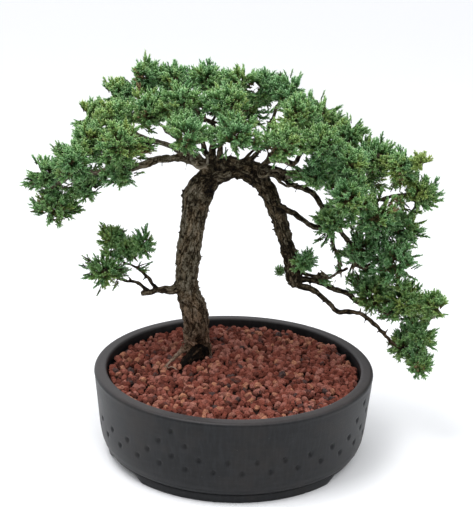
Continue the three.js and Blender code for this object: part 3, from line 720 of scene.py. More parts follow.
# Each limb is a line of (x, y, z, radius) in mm.
limbs = {
    'trunk': [
        (-39, 38, 50, 12.5), (-39, 38, 72, 14), (-40, 37, 92, 15.2), (-42, 36, 112, 14),
        (-42, 34, 128, 15.2), (-46, 32, 146, 14.2), (-52.2, 30, 166, 12.9), (-52.4, 30, 186, 13),
        (-51.1, 30, 204, 13.4), (-49.4, 30, 224, 13.8), (-47, 30, 241, 14.2), (-44.5, 30, 260, 14.8),
        (-40, 30, 279, 15), (-27.5, 30, 293.6, 13.2), (-12, 30, 301, 12)],
    'arch': [
        (-30, 30, 292, 12), (-14, 30, 300.5, 11.2), (2, 30, 301.5, 10.4), (17, 30, 295.5, 10.6),
        (29.4, 28, 282.5, 9.9), (38.2, 25, 265.5, 8.9), (45.2, 22, 249, 8.3), (49.9, 19, 233, 7.9),
        (55.2, 16, 215, 7.7), (60, 14, 199, 8.7), (63, 12, 187, 8.4), (65, 11, 179, 5.4)],
    'archCrest': [(-22, 30, 309, 5), (-9, 30, 311.5, 5.4), (2, 30, 308, 4)],
    'barkFlap': [(-34, 26, 293, 3), (-28, 27, 285.5, 3.4), (-26, 27, 278, 2.6), (-31, 27, 270, 1.6)],
    'crotchLoop': [
        (-50, 18, 316, 1.5), (-47.5, 13, 310, 1.9), (-42, 11.5, 307, 2), (-36, 12, 309, 1.8),
        (-32, 15, 313.5, 1.5), (-34, 19, 319, 1.2)],
    'frontRoot': [
        (-44, 34, 110, 7.5), (-49, 33, 102.5, 5), (-54, 29, 97.5, 3.4), (-61, 19, 94.4, 2.7),
        (-67, 9, 92.8, 2.2), (-73, -3, 90.6, 1.7), (-76, -9, 88.2, 1.3)],
    'paleFibre': [(-71, -4, 88, 0.9), (-67, -9, 91.2, 0.9), (-60, -15, 90.6, 0.8)],
    'rootMat': [
        (-36, 36, 97, 11), (-42, 27, 92, 8.5), (-49, 18, 89.5, 6.5), (-55, 9, 88, 4.5), (-59, 1, 86.5, 2.5)],
    'backRoot': [
        (-41, 40, 104, 8), (-45, 55, 92, 5.6), (-52, 68, 87.5, 4), (-56, 80, 83.4, 2.4)],
    'lowStub': [
        (-50, 30, 166, 9), (-62, 28, 166.5, 6.4), (-80, 24, 167, 4.4), (-93, 20, 166, 3.8),
        (-102, 16, 165, 3)],
    'sprigTwig': [
        (-84, 23, 167, 2.6), (-93, 22, 179, 2), (-104, 22, 190, 1.8), (-118, 22, 197, 1.6),
        (-132, 22, 205, 1.4)],
    'lowTwig': [
        (-93, 20, 166, 2.6), (-104, 18, 175, 1.8), (-118, 16, 180, 1.6), (-138, 14, 186, 1.4)],
    'leftBranch': [
        (-30, 29, 302, 6), (-40, 28, 306, 5.8), (-52, 26, 311.5, 5.3), (-66, 20, 314, 5),
        (-88, 8, 313.5, 4.3), (-112, -4, 308, 3.7), (-136, -8, 305, 3.2), (-162, -6, 302, 2.6),
        (-184, -2, 291, 2), (-196, 2, 282, 1.6)],
    'upperLeftBranch': [
        (-36, 29, 306, 4.8), (-50, 28.5, 316.5, 4.4), (-63.7, 28, 321, 3.8), (-77.3, 28, 327, 3.2),
        (-90.9, 28, 330.4, 2.8), (-103.5, 30, 335.5, 2.5), (-122, 38, 348, 2.2), (-140, 43, 354, 1.8)],
    'innerLeftBranch': [
        (-54, 28, 320, 3.2), (-62, 31, 329, 2.8), (-70.4, 34, 335.5, 2.4), (-81, 38, 343, 2),
        (-92, 40, 352, 1.6)],
    'topLeftBranch': [
        (-28, 31, 304, 4.4), (-36, 38, 322, 3.3), (-46, 48, 345, 2.7), (-60, 54, 368, 2.4),
        (-82, 58, 384, 1.8)],
    'topFrontBranch': [
        (-22, 28, 304, 4.2), (-19, 16, 324, 3.2), (-22, 0, 344, 2.6), (-28, -14, 360, 2.2),
        (-36, -30, 364, 1.8)],
    'topRightBranch': [
        (-8, 32, 303, 4.4), (10, 36, 311, 3.4), (24, 41, 322, 2.6), (30, 46, 340, 2.3), (38, 50, 362, 2.2),
        (44, 50, 376, 1.8)],
    'rightHighBranch': [
        (4, 29, 305, 6), (20, 25, 306, 5), (33, 20, 304.5, 4.4), (47, 14, 303.5, 4), (61, 8, 301.5, 3.8),
        (73, 4, 303, 3.4), (88, 2, 314, 3), (112, 2, 327, 2.6), (136, 4, 327, 2.2), (156, 0, 323, 1.8)],
    'curledBranch': [
        (20, 25, 303, 4), (24, 18, 307, 3.4), (26, 13, 311, 3.2), (29.1, 8, 316, 3), (34, 4, 323.5, 3),
        (38.8, -2, 326, 2.8), (45.9, -8, 321.5, 2.6), (54.9, -12, 319.5, 2.4), (60, -14, 325, 2.2),
        (64, -18, 334, 2.2), (76, -26, 342, 1.8)],
    'curledTwigA': [(28, 12, 313, 1.9), (42, 2, 318, 1.7), (54, -4, 315.5, 1.5), (70, -8, 309, 1.3)],
    'curledTwigB': [(28, 15, 305, 2), (40, 8, 306.5, 1.8), (52, 4, 301, 1.6), (66, 1, 299, 1.3)],
    'curledTwigC': [
        (30, 14, 302, 2.2), (38, 9, 299.5, 1.9), (44, 5, 294, 1.7), (52, 3, 291.5, 1.5), (62, 1, 295, 1.2)],
    'curledTwigD': [
        (26, 17, 307, 1.6), (21, 12, 304, 1.6), (22, 9, 299, 1.5), (28, 8, 299.5, 1.4), (31, 9, 304, 1.2)],
    'highTwig': [
        (2, 29, 309, 2.2), (9, 22, 317, 1.7), (18, 14, 327, 1.6), (34, 4, 331, 1.5), (44, 0, 327, 1.3)],
    'rightMiddleBranch': [
        (24, 27, 297, 5), (33, 22, 300, 4.4), (41.3, 18, 299, 4), (53.9, 12, 293, 3.6),
        (67.2, 6, 289, 3.4), (77.6, 2, 284, 3), (85.4, -4, 275.5, 3), (89, -8, 269, 2.8),
        (104, -12, 268, 2.6), (128, -14, 278, 2.2), (152, -8, 285, 2), (180, -2, 288, 1.6)],
    'rightLowBranch': [
        (36, 24, 270, 4.4), (49.6, 14, 264, 3.7), (62.3, 10, 257.8, 3.5), (73.8, 6, 252, 3.3),
        (82.3, 4, 248, 3.1), (96.9, 2, 248.5, 3), (106.3, 1, 246, 2.8), (111.2, 1, 240.3, 2.6),
        (116.2, 1, 232.3, 2.5), (119.3, 2, 224.6, 2.3), (122.4, 2, 214, 2.2), (129, 2, 207, 2.2),
        (138, 2, 207, 2.2), (158, 2, 222, 1.8), (172, 4, 238, 1.6)],
    'hangingTwig': [
        (98, 1, 248, 1.6), (99.8, 0, 236, 1.3), (103.2, 0, 225, 1.2), (108.8, 0, 214.5, 1.1),
        (110, 0, 204, 0.9)],
    'crotchStub': [(-28, 29, 308, 5), (-28, 29, 320, 4.2), (-26, 28, 333, 3)],
    'kneeTwig': [
        (61, 13, 198, 3.2), (72, 8, 195.5, 2.2), (86.6, 2, 194.5, 2), (99.1, 0, 194.4, 1.8),
        (109.1, -2, 202, 1.8), (117.3, -3, 205.8, 1.6)],
    'kneeBranch': [
        (61, 13, 187, 4.2), (68.5, 14, 185.6, 3.6), (79.1, 14, 186, 3.4), (92.2, 15, 181.6, 3.4),
        (105.4, 17, 175, 3.4), (120.8, 18, 169.5, 3), (136.5, 18, 158.5, 2.6), (158, 16, 162, 2.2),
        (178, 4, 170, 1.8)],
    'lowestBranch': [
        (62, 12, 184, 4.2), (70, 8, 180.4, 3.7), (79, 6, 178.4, 3.5), (91.9, 3, 172, 3.2),
        (100.6, 1, 164.2, 3), (109.5, 0, 155.8, 3), (124.3, -1, 156, 2.7), (138.3, -2, 151.4, 2.5),
        (152.7, -3, 140, 2.3), (167.5, -2, 124.4, 2.2), (185, 0, 112, 1.8)],
}

wood = {
    'sampleStep': 2.0,
    'sides': 20,
    'voxel': 0.92,
    'kept': 0.56,  # share of the faces left after thinning
    'knobs': 0.16,
    'wander': 1.5,
    'kink': 1.1,
    'ridge': 1.2,
    'fineRidge': 0.8,
    'flutes': 1.8,
    'slim': 0.45,
    'stretch': 0.36,
    'spurs': 150,
    'spurLength': (3.0, 9.0),
    'flakes': 170,
    'flakeLength': (1.4, 3.6),
    'twigRise': 0.08,  # a twig's bow, as a share of its length
    'twigThick': 1.2,
    'seed': 5,
}

# How pale the bark is at the start and at the end of a limb, 0 black to 1 tan.
barkTones = {
    # arch, archCrest and barkFlap are kept dark as painted shade under the crown and the shoulder
    'trunk': (0.7, 0.3), 'arch': (0.13, 0.3), 'frontRoot': (0.75, 1.0), 'rootMat': (-0.2, -0.3),
    'backRoot': (0.5, 0.6), 'lowStub': (0.42, 0.34), 'leftBranch': (0.45, 0.8),
    'upperLeftBranch': (0.5, 0.8), 'innerLeftBranch': (0.4, 0.6), 'paleFibre': (1.8, 1.8),
    'crotchLoop': (0.95, 1.25), 'barkFlap': (0.2, 0.2), 'archCrest': (0.1, 0.2),
    'curledTwigA': (0.7, 0.8), 'curledTwigB': (0.6, 0.7), 'curledTwigC': (0.5, 0.6),
    'curledTwigD': (0.55, 0.55),
}
otherBark = (0.12, 0.26)
shadeAndPaleSpots = [  # place, width, change of tone: painted shade on the flap under the shoulder, in the crotch and at the foot; paler bark at the burl
    ((-25, 20, 281), 6, -0.15), ((-34, 16, 301), 10, -0.15), ((-47, 17, 282), 4, 0.5),
    ((-49, 20, 240), 9, 0.3), ((-41, 24, 120), 16, -0.22),
]


def smoothLine(line, step):  # Catmull-Rom through the line's points, with radius
    points = [np.array(point, dtype=float) for point in line]
    points = [2 * points[0] - points[1], *points, 2 * points[-1] - points[-2]]
    samples = []
    for a, b, c, d in zip(points, points[1:], points[2:], points[3:]):
        count = max(2, int(np.linalg.norm((c - b)[:3]) / step))
        for t in np.arange(count) / count:
            samples.append(0.5 * (2 * b + (c - a) * t + (2 * a - 5 * b + 4 * c - d) * t ** 2
                                  + (3 * b - 3 * c + d - a) * t ** 3))
    samples.append(points[-2])
    return samples


def gnarled(name, samples):  # bends, kinks and swellings, stronger on thin wood
    shift = sum(ord(letter) for letter in name)
    rough = []
    for number, (x, y, z, r) in enumerate(samples):
        thin = min(1.0, 4.5 / max(r, 1.0)) * min(1.0, number / 6, (len(samples) - number) / 3)
        place = Vector((x, y, z)) * 0.075 + Vector((shift, 0, 0))
        bend = noise.noise_vector(place) * wood['wander'] * thin
        bend += noise.noise_vector(place * 2.6) * wood['kink'] * thin
        swell = 1 + wood['knobs'] * (0.4 + thin) * noise.noise(place * 3.2)
        rough.append((x + bend.x, y + bend.y, z + bend.z, r * swell))
    return rough


def alongLine(line, k):
    return (Vector(line[k + 1][:3]) - Vector(line[k - 1][:3])).normalized()


def spurLines(lines):  # short dead stubs on the thin wood
    chance = random.Random(wood['seed'])
    thin = [(line, k) for line in lines for k in range(3, len(line) - 1) if 1.3 < line[k][3] < 5.5]
    spurs = []
    for line, k in chance.sample(thin, min(wood['spurs'], len(thin))):
        along = alongLine(line, k)
        aim = anyWay(chance, (0, 0, 0.3)) + along * 0.9
        aim -= along * aim.dot(along) * 0.5
        start = Vector(line[k][:3])
        length = chance.uniform(*wood['spurLength']) + line[k][3]
        bent = aim.normalized() + anyWay(chance, wide=(0.3, 0.3, 0.3))
        middle = start + aim.normalized() * length * 0.55
        tip = middle + bent.normalized() * length * 0.45
        spurs.append([(*start, 1.3), (*middle, 1.05), (*tip, 0.8)])
    return spurs


def flakeLines(lines):  # loose ends of bark that stand off the thick wood, most of them below the arch
    chance = random.Random(wood['seed'] + 1)
    thick = [(line, k) for line in lines[:2] for k in range(8, len(line) - 2)]
    flakes = []
    for line, k in chance.sample(thick * 2, min(wood['flakes'], len(thick) * 2)):
        along = alongLine(line, k)
        out = anyWay(chance, (0, 0, -0.5), (1, 0.7, 0.8))
        out = (out - along * out.dot(along)).normalized()
        start = Vector(line[k][:3]) + out * (line[k][3] - 0.8)
        slide = along * chance.choice((-1, 1)) * chance.uniform(1.5, 3.5)
        tip = start + out * chance.uniform(*wood['flakeLength']) + slide
        flakes.append([(*(start - slide * 0.6), 1.3), (*start, 1.2), (*tip, 0.75)])
    return flakes


def nodeBox(name):
    low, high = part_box(name)
    low, high = Vector(low), Vector(high)
    return (low + high) / 2, (high - low) / 2


foliageNodes = sorted(name for name in frame['nodes'] if name.startswith('foliage_'))

# Thin sprays beside the tufts, each from its start to its tip in mm.
looseSprays = {
    'foliage_sprig_3': [((-109, 21, 193), (-88, 20, 201)), ((-104, 21, 192), (-92, 20, 190))],
    'foliage_sprig_4': [((-137, 17, 188), (-150, 18, 160)), ((-126, 16, 183), (-133, 18, 166)),
                        ((-146, 14, 196), (-165, 14, 208)), ((-146, 14, 194), (-169, 14, 197)),
                        ((-146, 14, 190), (-164, 12, 186))],
    'foliage_right_7': [((95, 2, 245), (79, 0, 230)), ((97, 2, 244), (88, 0, 226))],
    'foliage_right_11': [((99, 0, 236), (101, -1, 221)), ((102, 0, 230), (107, -1, 213)),
                         ((105, 0, 222), (112, -2, 207)), ((107, 0, 216), (107, -2, 199)),
                         ((103, 0, 226), (113, -1, 219)), ((121, 2, 206), (116, -2, 185)),
                         ((124, 2, 206), (122, -2, 184)), ((118, 2, 228), (126, -4, 216))],
    'foliage_low_1': [((154, 8, 170), (146, 8, 155)), ((158, 8, 168), (156, 6, 152))],
    'foliage_low_4': [((188, 0, 152), (170, 4, 146)), ((190, 0, 146), (176, 4, 138))],
    'foliage_left_4': [((-168, -4, 292), (-184, -8, 284)), ((-186, 0, 293), (-175, -10, 282)),
                       ((-150, 0, 300), (-142, -8, 313)), ((-138, -6, 302), (-149, -10, 310)),
                       ((-160, 0, 300), (-170, -12, 288))],
    'foliage_left_8': [((-108, 4, 340), (-90, 12, 330)), ((-110, 2, 330), (-97, 8, 322)),
                       ((-100, 20, 348), (-84, 22, 339)), ((-106, 0, 322), (-92, 8, 316))],
}


# Seen from the front, through y = 0: gaps in the crown and places with more sprays, each (x, z, radius) in mm.
gaps = [
    (-211, 307, 7), (-203, 254, 6), (-163, 363, 8), (-146, 285, 5), (-136, 384, 6), (-113, 404, 6),
    (-108, 417, 4), (-105, 304, 4), (-71, 338, 6), (-37, 332, 4), (-14, 331, 6), (7, 411, 4), (13, 394, 7),
    (30, 328, 7), (47, 412, 4), (62, 397, 4), (78, 388, 5), (93, 380, 7), (109, 238, 5), (116, 362, 5),
    (148, 279, 5), (174, 331, 4), (178, 274, 6), (187, 203, 6), (188, 224, 4), (190, 262, 5), (192, 317, 4),
    (213, 145, 6), (222, 161, 6)]
fills = [
    (-217, 288, 10), (-216, 258, 5), (-186, 329, 12), (-164, 264, 12), (-160, 205, 6), (-141, 174, 5),
    (-140, 245, 7), (-118, 242, 9), (-118, 195, 15), (-104, 208, 8), (-89, 331, 14), (-31, 363, 6), (6, 328, 5),
    (19, 358, 8), (29, 375, 9), (39, 411, 6), (54, 306, 12), (76, 261, 6), (83, 241, 6), (91, 279, 6),
    (101, 187, 9), (101, 231, 6), (107, 217, 5), (121, 198, 11), (127, 232, 10), (127, 252, 10), (140, 156, 6),
    (158, 152, 12), (163, 293, 12), (186, 193, 10), (190, 238, 6)]
filling = {'area': 15, 'length': 17, 'turn': 2.4, 'depthSpread': 3, 'seed': 77}  # for each spray, mm


def throughMiddle(place):  # x and z where the line from the camera to a place crosses y = 0, mm
    eye = Vector(view['place']) / mm
    place = Vector(place)
    share = eye.y / (eye.y - place.y)
    return eye.x + (place.x - eye.x) * share, eye.z + (place.z - eye.z) * share


def atDepth(x, z, y):  # the place at depth y that is seen through (x, 0, z)
    eye = Vector(view['place']) / mm
    share = (y - eye.y) / -eye.y
    return Vector((eye.x + (x - eye.x) * share, y, eye.z + (z - eye.z) * share))


def inGap(place):
    x, z = throughMiddle(place)
    return any(math.hypot(x - gx, z - gz) < wide for gx, gz, wide in gaps)


def fillSprays():  # more loose sprays, each on the tuft that is nearest to its tip
    chance = random.Random(filling['seed'])
    centres = {name: nodeBox(name)[0] / mm for name in foliageNodes}
    sprays = {name: list(given) for name, given in looseSprays.items()}
    for x, z, wide in fills:
        near = min(centres, key=lambda name: (atDepth(x, z, centres[name].y) - centres[name]).length)
        count = wide * wide / filling['area']
        for number in range(max(1, round(count))):
            turn, away = filling['turn'] * number + x, wide * 0.75 * math.sqrt(number / count)
            depth = centres[near].y + chance.gauss(0, filling['depthSpread'])
            tip = atDepth(x + away * math.cos(turn), z + away * math.sin(turn), depth)
            back = centres[near] - tip
            start = tip + back * min(1.0, filling['length'] / back.length)
            sprays.setdefault(near, []).append((tuple(start), tuple(tip)))
    return sprays


def twigLines(limbSamples):  # from the nearest wood to the middle of every tuft
    reached = [sample for samples in limbSamples for sample in samples[len(samples) // 6::3]]
    waiting = [tuple(nodeBox(name)[0] / mm) for name in foliageNodes]
    lines = []
    while waiting:
        tree = np.array([sample[:3] for sample in reached])
        best = None
        for index, goal in enumerate(waiting):
            away = np.linalg.norm(tree - np.array(goal), axis=1)
            nearest = int(away.argmin())
            if best is None or away[nearest] < best[0]:
                best = (away[nearest], index, nearest)
        distance, index, nearest = best
        goal = np.array(waiting.pop(index))
        if distance < 4:
            continue
        x, y, z, r = reached[nearest]
        thick = min(r * 0.8, wood['twigThick'] + distance * 0.016)
        middle = (np.array((x, y, z)) + goal) / 2 + np.array((0, 0, distance * wood['twigRise']))
        lines.append([(x, y, z, thick), (*middle, thick * 0.85), (*goal, 0.9)])
        reached += smoothLine(lines[-1], 6)[2:]
    return lines


def tubeTree():
    tree = Growth('roundLimbs', Sides='Int')
    ring = tree.node('GeometryNodeCurvePrimitiveCircle', None, {
        'Resolution': tree.given('Sides'), 'Radius': 1.0})
    radius = tree.node('GeometryNodeInputRadius')
    tubes = tree.node('GeometryNodeCurveToMesh', None, {
        'Curve': tree.given('Geometry'), 'Profile Curve': ring, 'Fill Caps': True})
    for socket in tree.nodeTree.nodes['Curve to Mesh'].inputs:
        if socket.name == 'Scale':
            tree.plug(radius, socket)
    tree.finish(tubes)
    return tree


def limbCurve(name, lines):
    data = bpy.data.curves.new(name, 'CURVE')
    data.dimensions = '3D'
    for samples in lines:
        spline = data.splines.new('POLY')
        spline.points.add(len(samples) - 1)
        for point, (x, y, z, r) in zip(spline.points, samples):
            point.co = (x * mm, y * mm, z * mm, 1)
            point.radius = r * mm
    return addObject(name, data)


def skeleton(lines, tones):  # per sample: place, direction, side, length so far, radius, tone
    rows = []
    for samples, (startTone, endTone) in zip(lines, tones):
        places = np.array([sample[:3] for sample in samples])
        radii = np.array([sample[3] for sample in samples])
        shades = np.linspace(startTone, endTone, len(places))
        along = np.gradient(places, axis=0)
        along /= np.linalg.norm(along, axis=1, keepdims=True)
        side = np.cross(along[0], (0.0, 1.0, 0.2))
        side /= np.linalg.norm(side)
        length = 0.0
        for number in range(len(places)):
            side = side - along[number] * np.dot(side, along[number])
            side /= np.linalg.norm(side)
            if number:
                length += np.linalg.norm(places[number] - places[number - 1])
            rows.append((places[number], along[number], side.copy(), length, radii[number], shades[number]))
    return rows


def ridges(place, wide):  # 0 in a crack, 1 on a strip of bark
    return min(1.0, abs(noise.noise(place)) * wide)


def barkUp(piece, rows):  # raises stringy strips that follow each limb, and keeps their coordinates
    tree = kdtree.KDTree(len(rows))
    for number, row in enumerate(rows):
        tree.insert(Vector(row[0]), number)
    tree.balance()
    mesh = piece.data
    places = readValues(mesh.vertices, 'co', 3) / mm
    normals = readValues(mesh.vertex_normals, 'vector', 3)
    grain = np.zeros((len(places), 3), dtype=np.float32)
    rise, tone = np.zeros((2, len(places)), dtype=np.float32)
    for number, place in enumerate(places):
        near = tree.find_n(Vector(place), 6)
        index = min(near, key=lambda found: found[2] - rows[found[1]][4])[1]
        centre, along, side, length, radius, shade = rows[index]
        offset = place - centre
        turn = math.atan2(np.dot(offset, np.cross(along, side)), np.dot(offset, side))
        ahead = float(np.dot(offset, along))
        around = max(radius, 2.0)
        spot = Vector((around * math.cos(turn), around * math.sin(turn), (length + ahead) * wood['stretch']))
        grain[number] = (spot.x, spot.y, spot.z)
        bent = spot + noise.noise_vector(spot * 0.22) * 2.4
        strips = ridges(bent * 0.2, 3.4)
        fine = ridges(bent * 0.5 + Vector((9, 4, 1)), 3.0)
        flutes = noise.noise(spot * 0.1 + Vector((5, 2, 0)))
        size = min(1.0, radius / 9.0)
        rise[number] = strips * 0.62 + fine * 0.38
        height = (strips - 0.7) * wood['ridge'] + (fine - 0.7) * wood['fineRidge'] + flutes * wood['flutes']
        places[number] += normals[number] * (height - wood['slim']) * size
        # the spots darken the tone as painted shade, or make the bark paler at the burl
        tone[number] = shade + sum(change * math.exp(-float(np.sum((place - spotAt) ** 2)) / wide ** 2)
                                   for spotAt, wide, change in shadeAndPaleSpots)
    mesh.vertices.foreach_set('co', (places * mm).astype(np.float32).ravel())
    for name, values in (('grain', grain), ('rise', rise), ('pale', tone)):
        keepValues(mesh, name, values)
    mesh.update()


def applyModifier(piece, kind, **values):
    modifier = piece.modifiers.new(kind, kind)
    for key, value in values.items():
        setattr(modifier, key, value)
    evaluated = piece.evaluated_get(bpy.context.evaluated_depsgraph_get())
    mesh = bpy.data.meshes.new_from_object(evaluated)
    piece.modifiers.clear()
    piece.data = mesh


def barkFinish():
    bark = Finish('juniperBark', Roughness=0.92, Specular_IOR_Level=0.12)
    place = bark.objectPlace()
    grain = bark.attribute('grain')
    rise = bark.attribute('rise', 'Fac')
    pale = bark.attribute('pale', 'Fac')
    strips = bark.clouds(grain, 0.8, 6.0, 0.78)
    fibres = bark.clouds(bark.stretched(grain, (1.0, 1.0, 0.5)), 2.6, 4.0, 0.7)
    patches = bark.clouds(grain, 0.13, 4.0, 0.6)
    blotches = bark.clouds(grain, 0.2, 3.0, 0.6)
    flecks = bark.clouds(place, 480.0, 4.0, 0.75)
    level = (rise - 0.66) * 0.5 + (strips - 0.5) * 0.85 + (fibres - 0.5) * 1.0 + (pale - 0.5) * 0.5
    level = level + (blotches - 0.5) * 0.35 + (flecks - 0.5) * 0.9
    tone = bark.ramp((level + 0.5).clamped(), [
        (0.0, (0.0018, 0.0013, 0.0008)), (0.24, (0.009, 0.0065, 0.0035)), (0.38, (0.04, 0.03, 0.016)),
        (0.52, (0.098, 0.084, 0.056)), (0.7, (0.19, 0.168, 0.124)), (1.0, (0.36, 0.33, 0.265))])
    brown = bark.mask(patches, 0.46, 0.6)
    warm = bark.blend(brown * 0.5, tone, bark.times(tone, (1.12, 0.88, 0.68, 1)))
    low = (bark.part(place, 'Z') * -14.0 + 2.5).clamped()  # redder towards the gravel
    bark.feed('Base Color', bark.blend(low * 0.8, warm, bark.times(warm, (0.98, 0.7, 0.66, 1))))
    bark.bump(strips * 0.8 + fibres * 0.8 + rise * 0.3, 0.85, 0.0013)
    return bark.material


def sprayTwig(name, number, start, tip):
    if number < 5:
        return [(*start, 1.1), (*tip, 0.75)]
    return [(*(nodeBox(name)[0] / mm), 1.0), (*start, 1.0), (*tip, 0.7)]


limbSamples = [gnarled(name, smoothLine(line, wood['sampleStep'])) for name, line in limbs.items()]
twigSamples = [gnarled(str(number), smoothLine(line, wood['sampleStep']))
               for number, line in enumerate(twigLines(limbSamples))]
looseSprays = fillSprays()
sprayTwigs = [sprayTwig(name, number, *spray) for name, sprays in looseSprays.items()
              for number, spray in enumerate(sprays)]
loose = [smoothLine(line, wood['sampleStep']) for line in
         spurLines(limbSamples[2:] + twigSamples) + flakeLines(limbSamples) + sprayTwigs]
woodLines = limbSamples + twigSamples
woodTones = [barkTones.get(name, otherBark) for name in limbs] + [otherBark] * len(twigSamples)
bark = barkFinish()
woodPiece = tubeTree().grow(limbCurve('limbLines', woodLines + loose), 'wood', bark, Sides=wood['sides'])
applyModifier(woodPiece, 'REMESH', mode='VOXEL', voxel_size=wood['voxel'] * mm)
applyModifier(woodPiece, 'SMOOTH', factor=0.5, iterations=1)
barkUp(woodPiece, skeleton(woodLines, woodTones))
applyModifier(woodPiece, 'DECIMATE', ratio=wood['kept'])
woodPiece.data.shade_smooth()
dress(woodPiece, bark, 'trunk_and_branches')
print('wood made', len(woodPiece.data.polygons))


foliage = {
    'fingerKinds': 6,
    'needles': 10,
    'needleLength': 0.28,
    'needleThick': 0.062,
    'sprayLength': 22.0,
    'fingerLength': 12.5,
    'fingerWide': 11.5,
    'buried': 0.6,  # no fingers this far into another tuft
    'tipFrom': 0.62,  # corners of the tuft this far out get a spray
    'sideFingers': 6,
    'fewSideFingers': 4,
    'fill': 23,
    'goldenTurn': 2.4,  # from one to the next around an axis
    'deadShare': 0.24,
    'lift': 0.42,
    'bridgeReach': 2.0,
    'bridgeSprays': 9,
    'standAlone': ('foliage_tip_1', 'foliage_knee_1', 'foliage_knee_2'),
    'openGroups': ('sprig', 'knee'),
    'openPart': 0.8,
    'rustReach': 7.0,
    'rust': [(-108, 397), (-100, 369), (-209, 277), (164, 309), (160, 284), (195, 102), (-86, 331)],  # x, z
    'seed': 41,
}


def addThorn(places, faces, maps, base, aim, length, thick, tone, low, high):  # a closed awl leaf
    aim = aim.normalized()
    side = aim.cross(Vector((0.31, 0.2, 0.93))).normalized()
    up = aim.cross(side)
    first = len(places)
    for k in range(3):
        turn = 2 * math.pi * k / 3
        places.append(base + (side * math.cos(turn) + up * math.sin(turn)) * thick)
        maps.append((tone, low))
    places.append(base + aim * length)
    maps.append((tone, high))
    faces.append((first + 2, first + 1, first))
    faces += [(first + k, first + (k + 1) % 3, first + 3) for k in range(3)]


def makeFingerKinds():  # one unit high, from the twig at the bottom to the tip
    kinds = newCollection('fingerKinds')
    for kind in range(foliage['fingerKinds']):
        chance = random.Random(foliage['seed'] + kind)
        places, faces, maps = [], [], []
        bow = Vector((chance.uniform(-0.09, 0.09), chance.uniform(-0.09, 0.09), 0))
        stem = Vector((0, 0, 1)) + bow
        addThorn(places, faces, maps, Vector((0, 0, -0.12)), stem, 0.98, 0.075, 0.5, 0.0, 0.8)
        for number in range(foliage['needles']):
            t = number / (foliage['needles'] - 1)
            turn = foliage['goldenTurn'] * number + chance.uniform(-0.3, 0.3)
            out = (0.9 - 0.42 * t) * chance.uniform(0.8, 1.2)
            aim = Vector((math.cos(turn) * out, math.sin(turn) * out, 1.0))
            base = stem * (0.04 + 0.7 * t)
            length = foliage['needleLength'] * chance.uniform(0.85, 1.15)
            # needles lower on the finger take the darker part of the ramp: painted shade
            low = 0.14 + 0.42 * t
            addThorn(places, faces, maps, base, aim, length, foliage['needleThick'] * chance.uniform(0.9, 1.2),
                     chance.random(), low, min(1.0, low + 0.42))
        mesh = bpy.data.meshes.new('finger')
        mesh.from_pydata([tuple(place) for place in places], [], faces)
        layer = mesh.uv_layers.new(name='OFBake')
        corners = readValues(mesh.loops, 'vertex_index', kind=np.int32)
        layer.data.foreach_set('uv', np.array(maps, dtype=np.float32)[corners].ravel())
        mesh.shade_smooth()
        kinds.objects.link(bpy.data.objects.new(f'finger{kind}', mesh))
    return kinds


def fingerTree():
    tree = Growth('fingersOnPoints', Fingers='Collection', Seed='Int')
    seed = tree.given('Seed')
    aimed = tree.node('FunctionNodeAlignRotationToVector', {'axis': 'Z'}, {
        'Vector': tree.named('aim', 'FLOAT_VECTOR')})
    rolled = tree.node('FunctionNodeRotateRotation', {'rotation_space': 'LOCAL'}, {
        0: aimed, 1: tree.node('FunctionNodeAxisAngleToRotation', None, {
            'Axis': (0.0, 0.0, 1.0), 'Angle': tree.randomValue(0.0, 6.28, seed)})})
    tree.finish(tree.copies(tree.given('Geometry'), tree.given('Fingers'), foliage['fingerKinds'], seed + 1,
                            rolled, tree.named('span', 'FLOAT_VECTOR')))
    return tree


def tuftSprays(name, chance):  # where the sprays of a tuft start and end, mm
    centre, reach = nodeBox(name)
    corners = np.unique(np.round(readValues(frame['nodes'][name].data.vertices, 'co', 3), 6), axis=0)
    offsets = corners - np.array(centre)
    shape = np.linalg.norm(offsets / np.array(reach), axis=1)
    sprays = [(centre / mm, (centre + Vector(offset)) / mm)
              for offset, away in zip(offsets, shape) if away > foliage['tipFrom']]
    size = sum(reach) / 3 / mm
    for number in range(foliage['fill']):
        aim = spread(number, foliage['fill'], chance)
        sprays.append((centre / mm, centre / mm + aim * size * chance.uniform(0.6, 0.9)))
    for other in foliageNodes:
        if other > name and not {name, other} & set(foliage['standAlone']):
            sprays += bridge(centre / mm, size, *nodeBox(other), chance)
    if isOpen(name):
        sprays = chance.sample(sprays, int(len(sprays) * foliage['openPart']))
    return sprays


def isOpen(name):
    return name.split('_')[1] in foliage['openGroups']


def spread(number, count, chance):  # one of many directions evenly around a point
    z = 1 - 2 * (number + 0.5) / count
    turn = foliage['goldenTurn'] * number + chance.uniform(-0.3, 0.3)
    flat = math.sqrt(1 - z * z)
    return Vector((flat * math.cos(turn), flat * math.sin(turn), z))


def bridge(centre, size, otherCentre, otherReach, chance):  # sprays that fill the notch between two tufts
    across = otherCentre / mm - centre
    otherSize = sum(otherReach) / 3 / mm
    mean = (size + otherSize) / 2
    if across.length > foliage['bridgeReach'] * mean:
        return []
    middle = centre + across * size / (size + otherSize)
    wide = math.sqrt(max(mean ** 2 * 1.1 - (across.length / 2) ** 2, (0.35 * mean) ** 2))
    axis = across.normalized()
    sprays = []
    for number in range(foliage['bridgeSprays']):
        aim = spread(number, foliage['bridgeSprays'], chance)
        aim = (aim - axis * aim.dot(axis) * 0.7).normalized()
        sprays.append((middle - aim * 6, middle + aim * wide * chance.uniform(0.8, 1.0)))
    return sprays


def toneAt(place):  # tints drift through the whole crown, 0 blue-green to 1 yellow-green
    broad = noise.noise(place * 0.016 + Vector((3, 8, 1)))
    patch = noise.noise(place * 0.05)
    return 0.36 + 0.42 * broad + 0.42 * patch + (0.3 if isRusty(place) else 0)


def isRusty(place):
    return any(math.hypot(place.x - x, place.z - z) < foliage['rustReach'] for x, z in foliage['rust'])


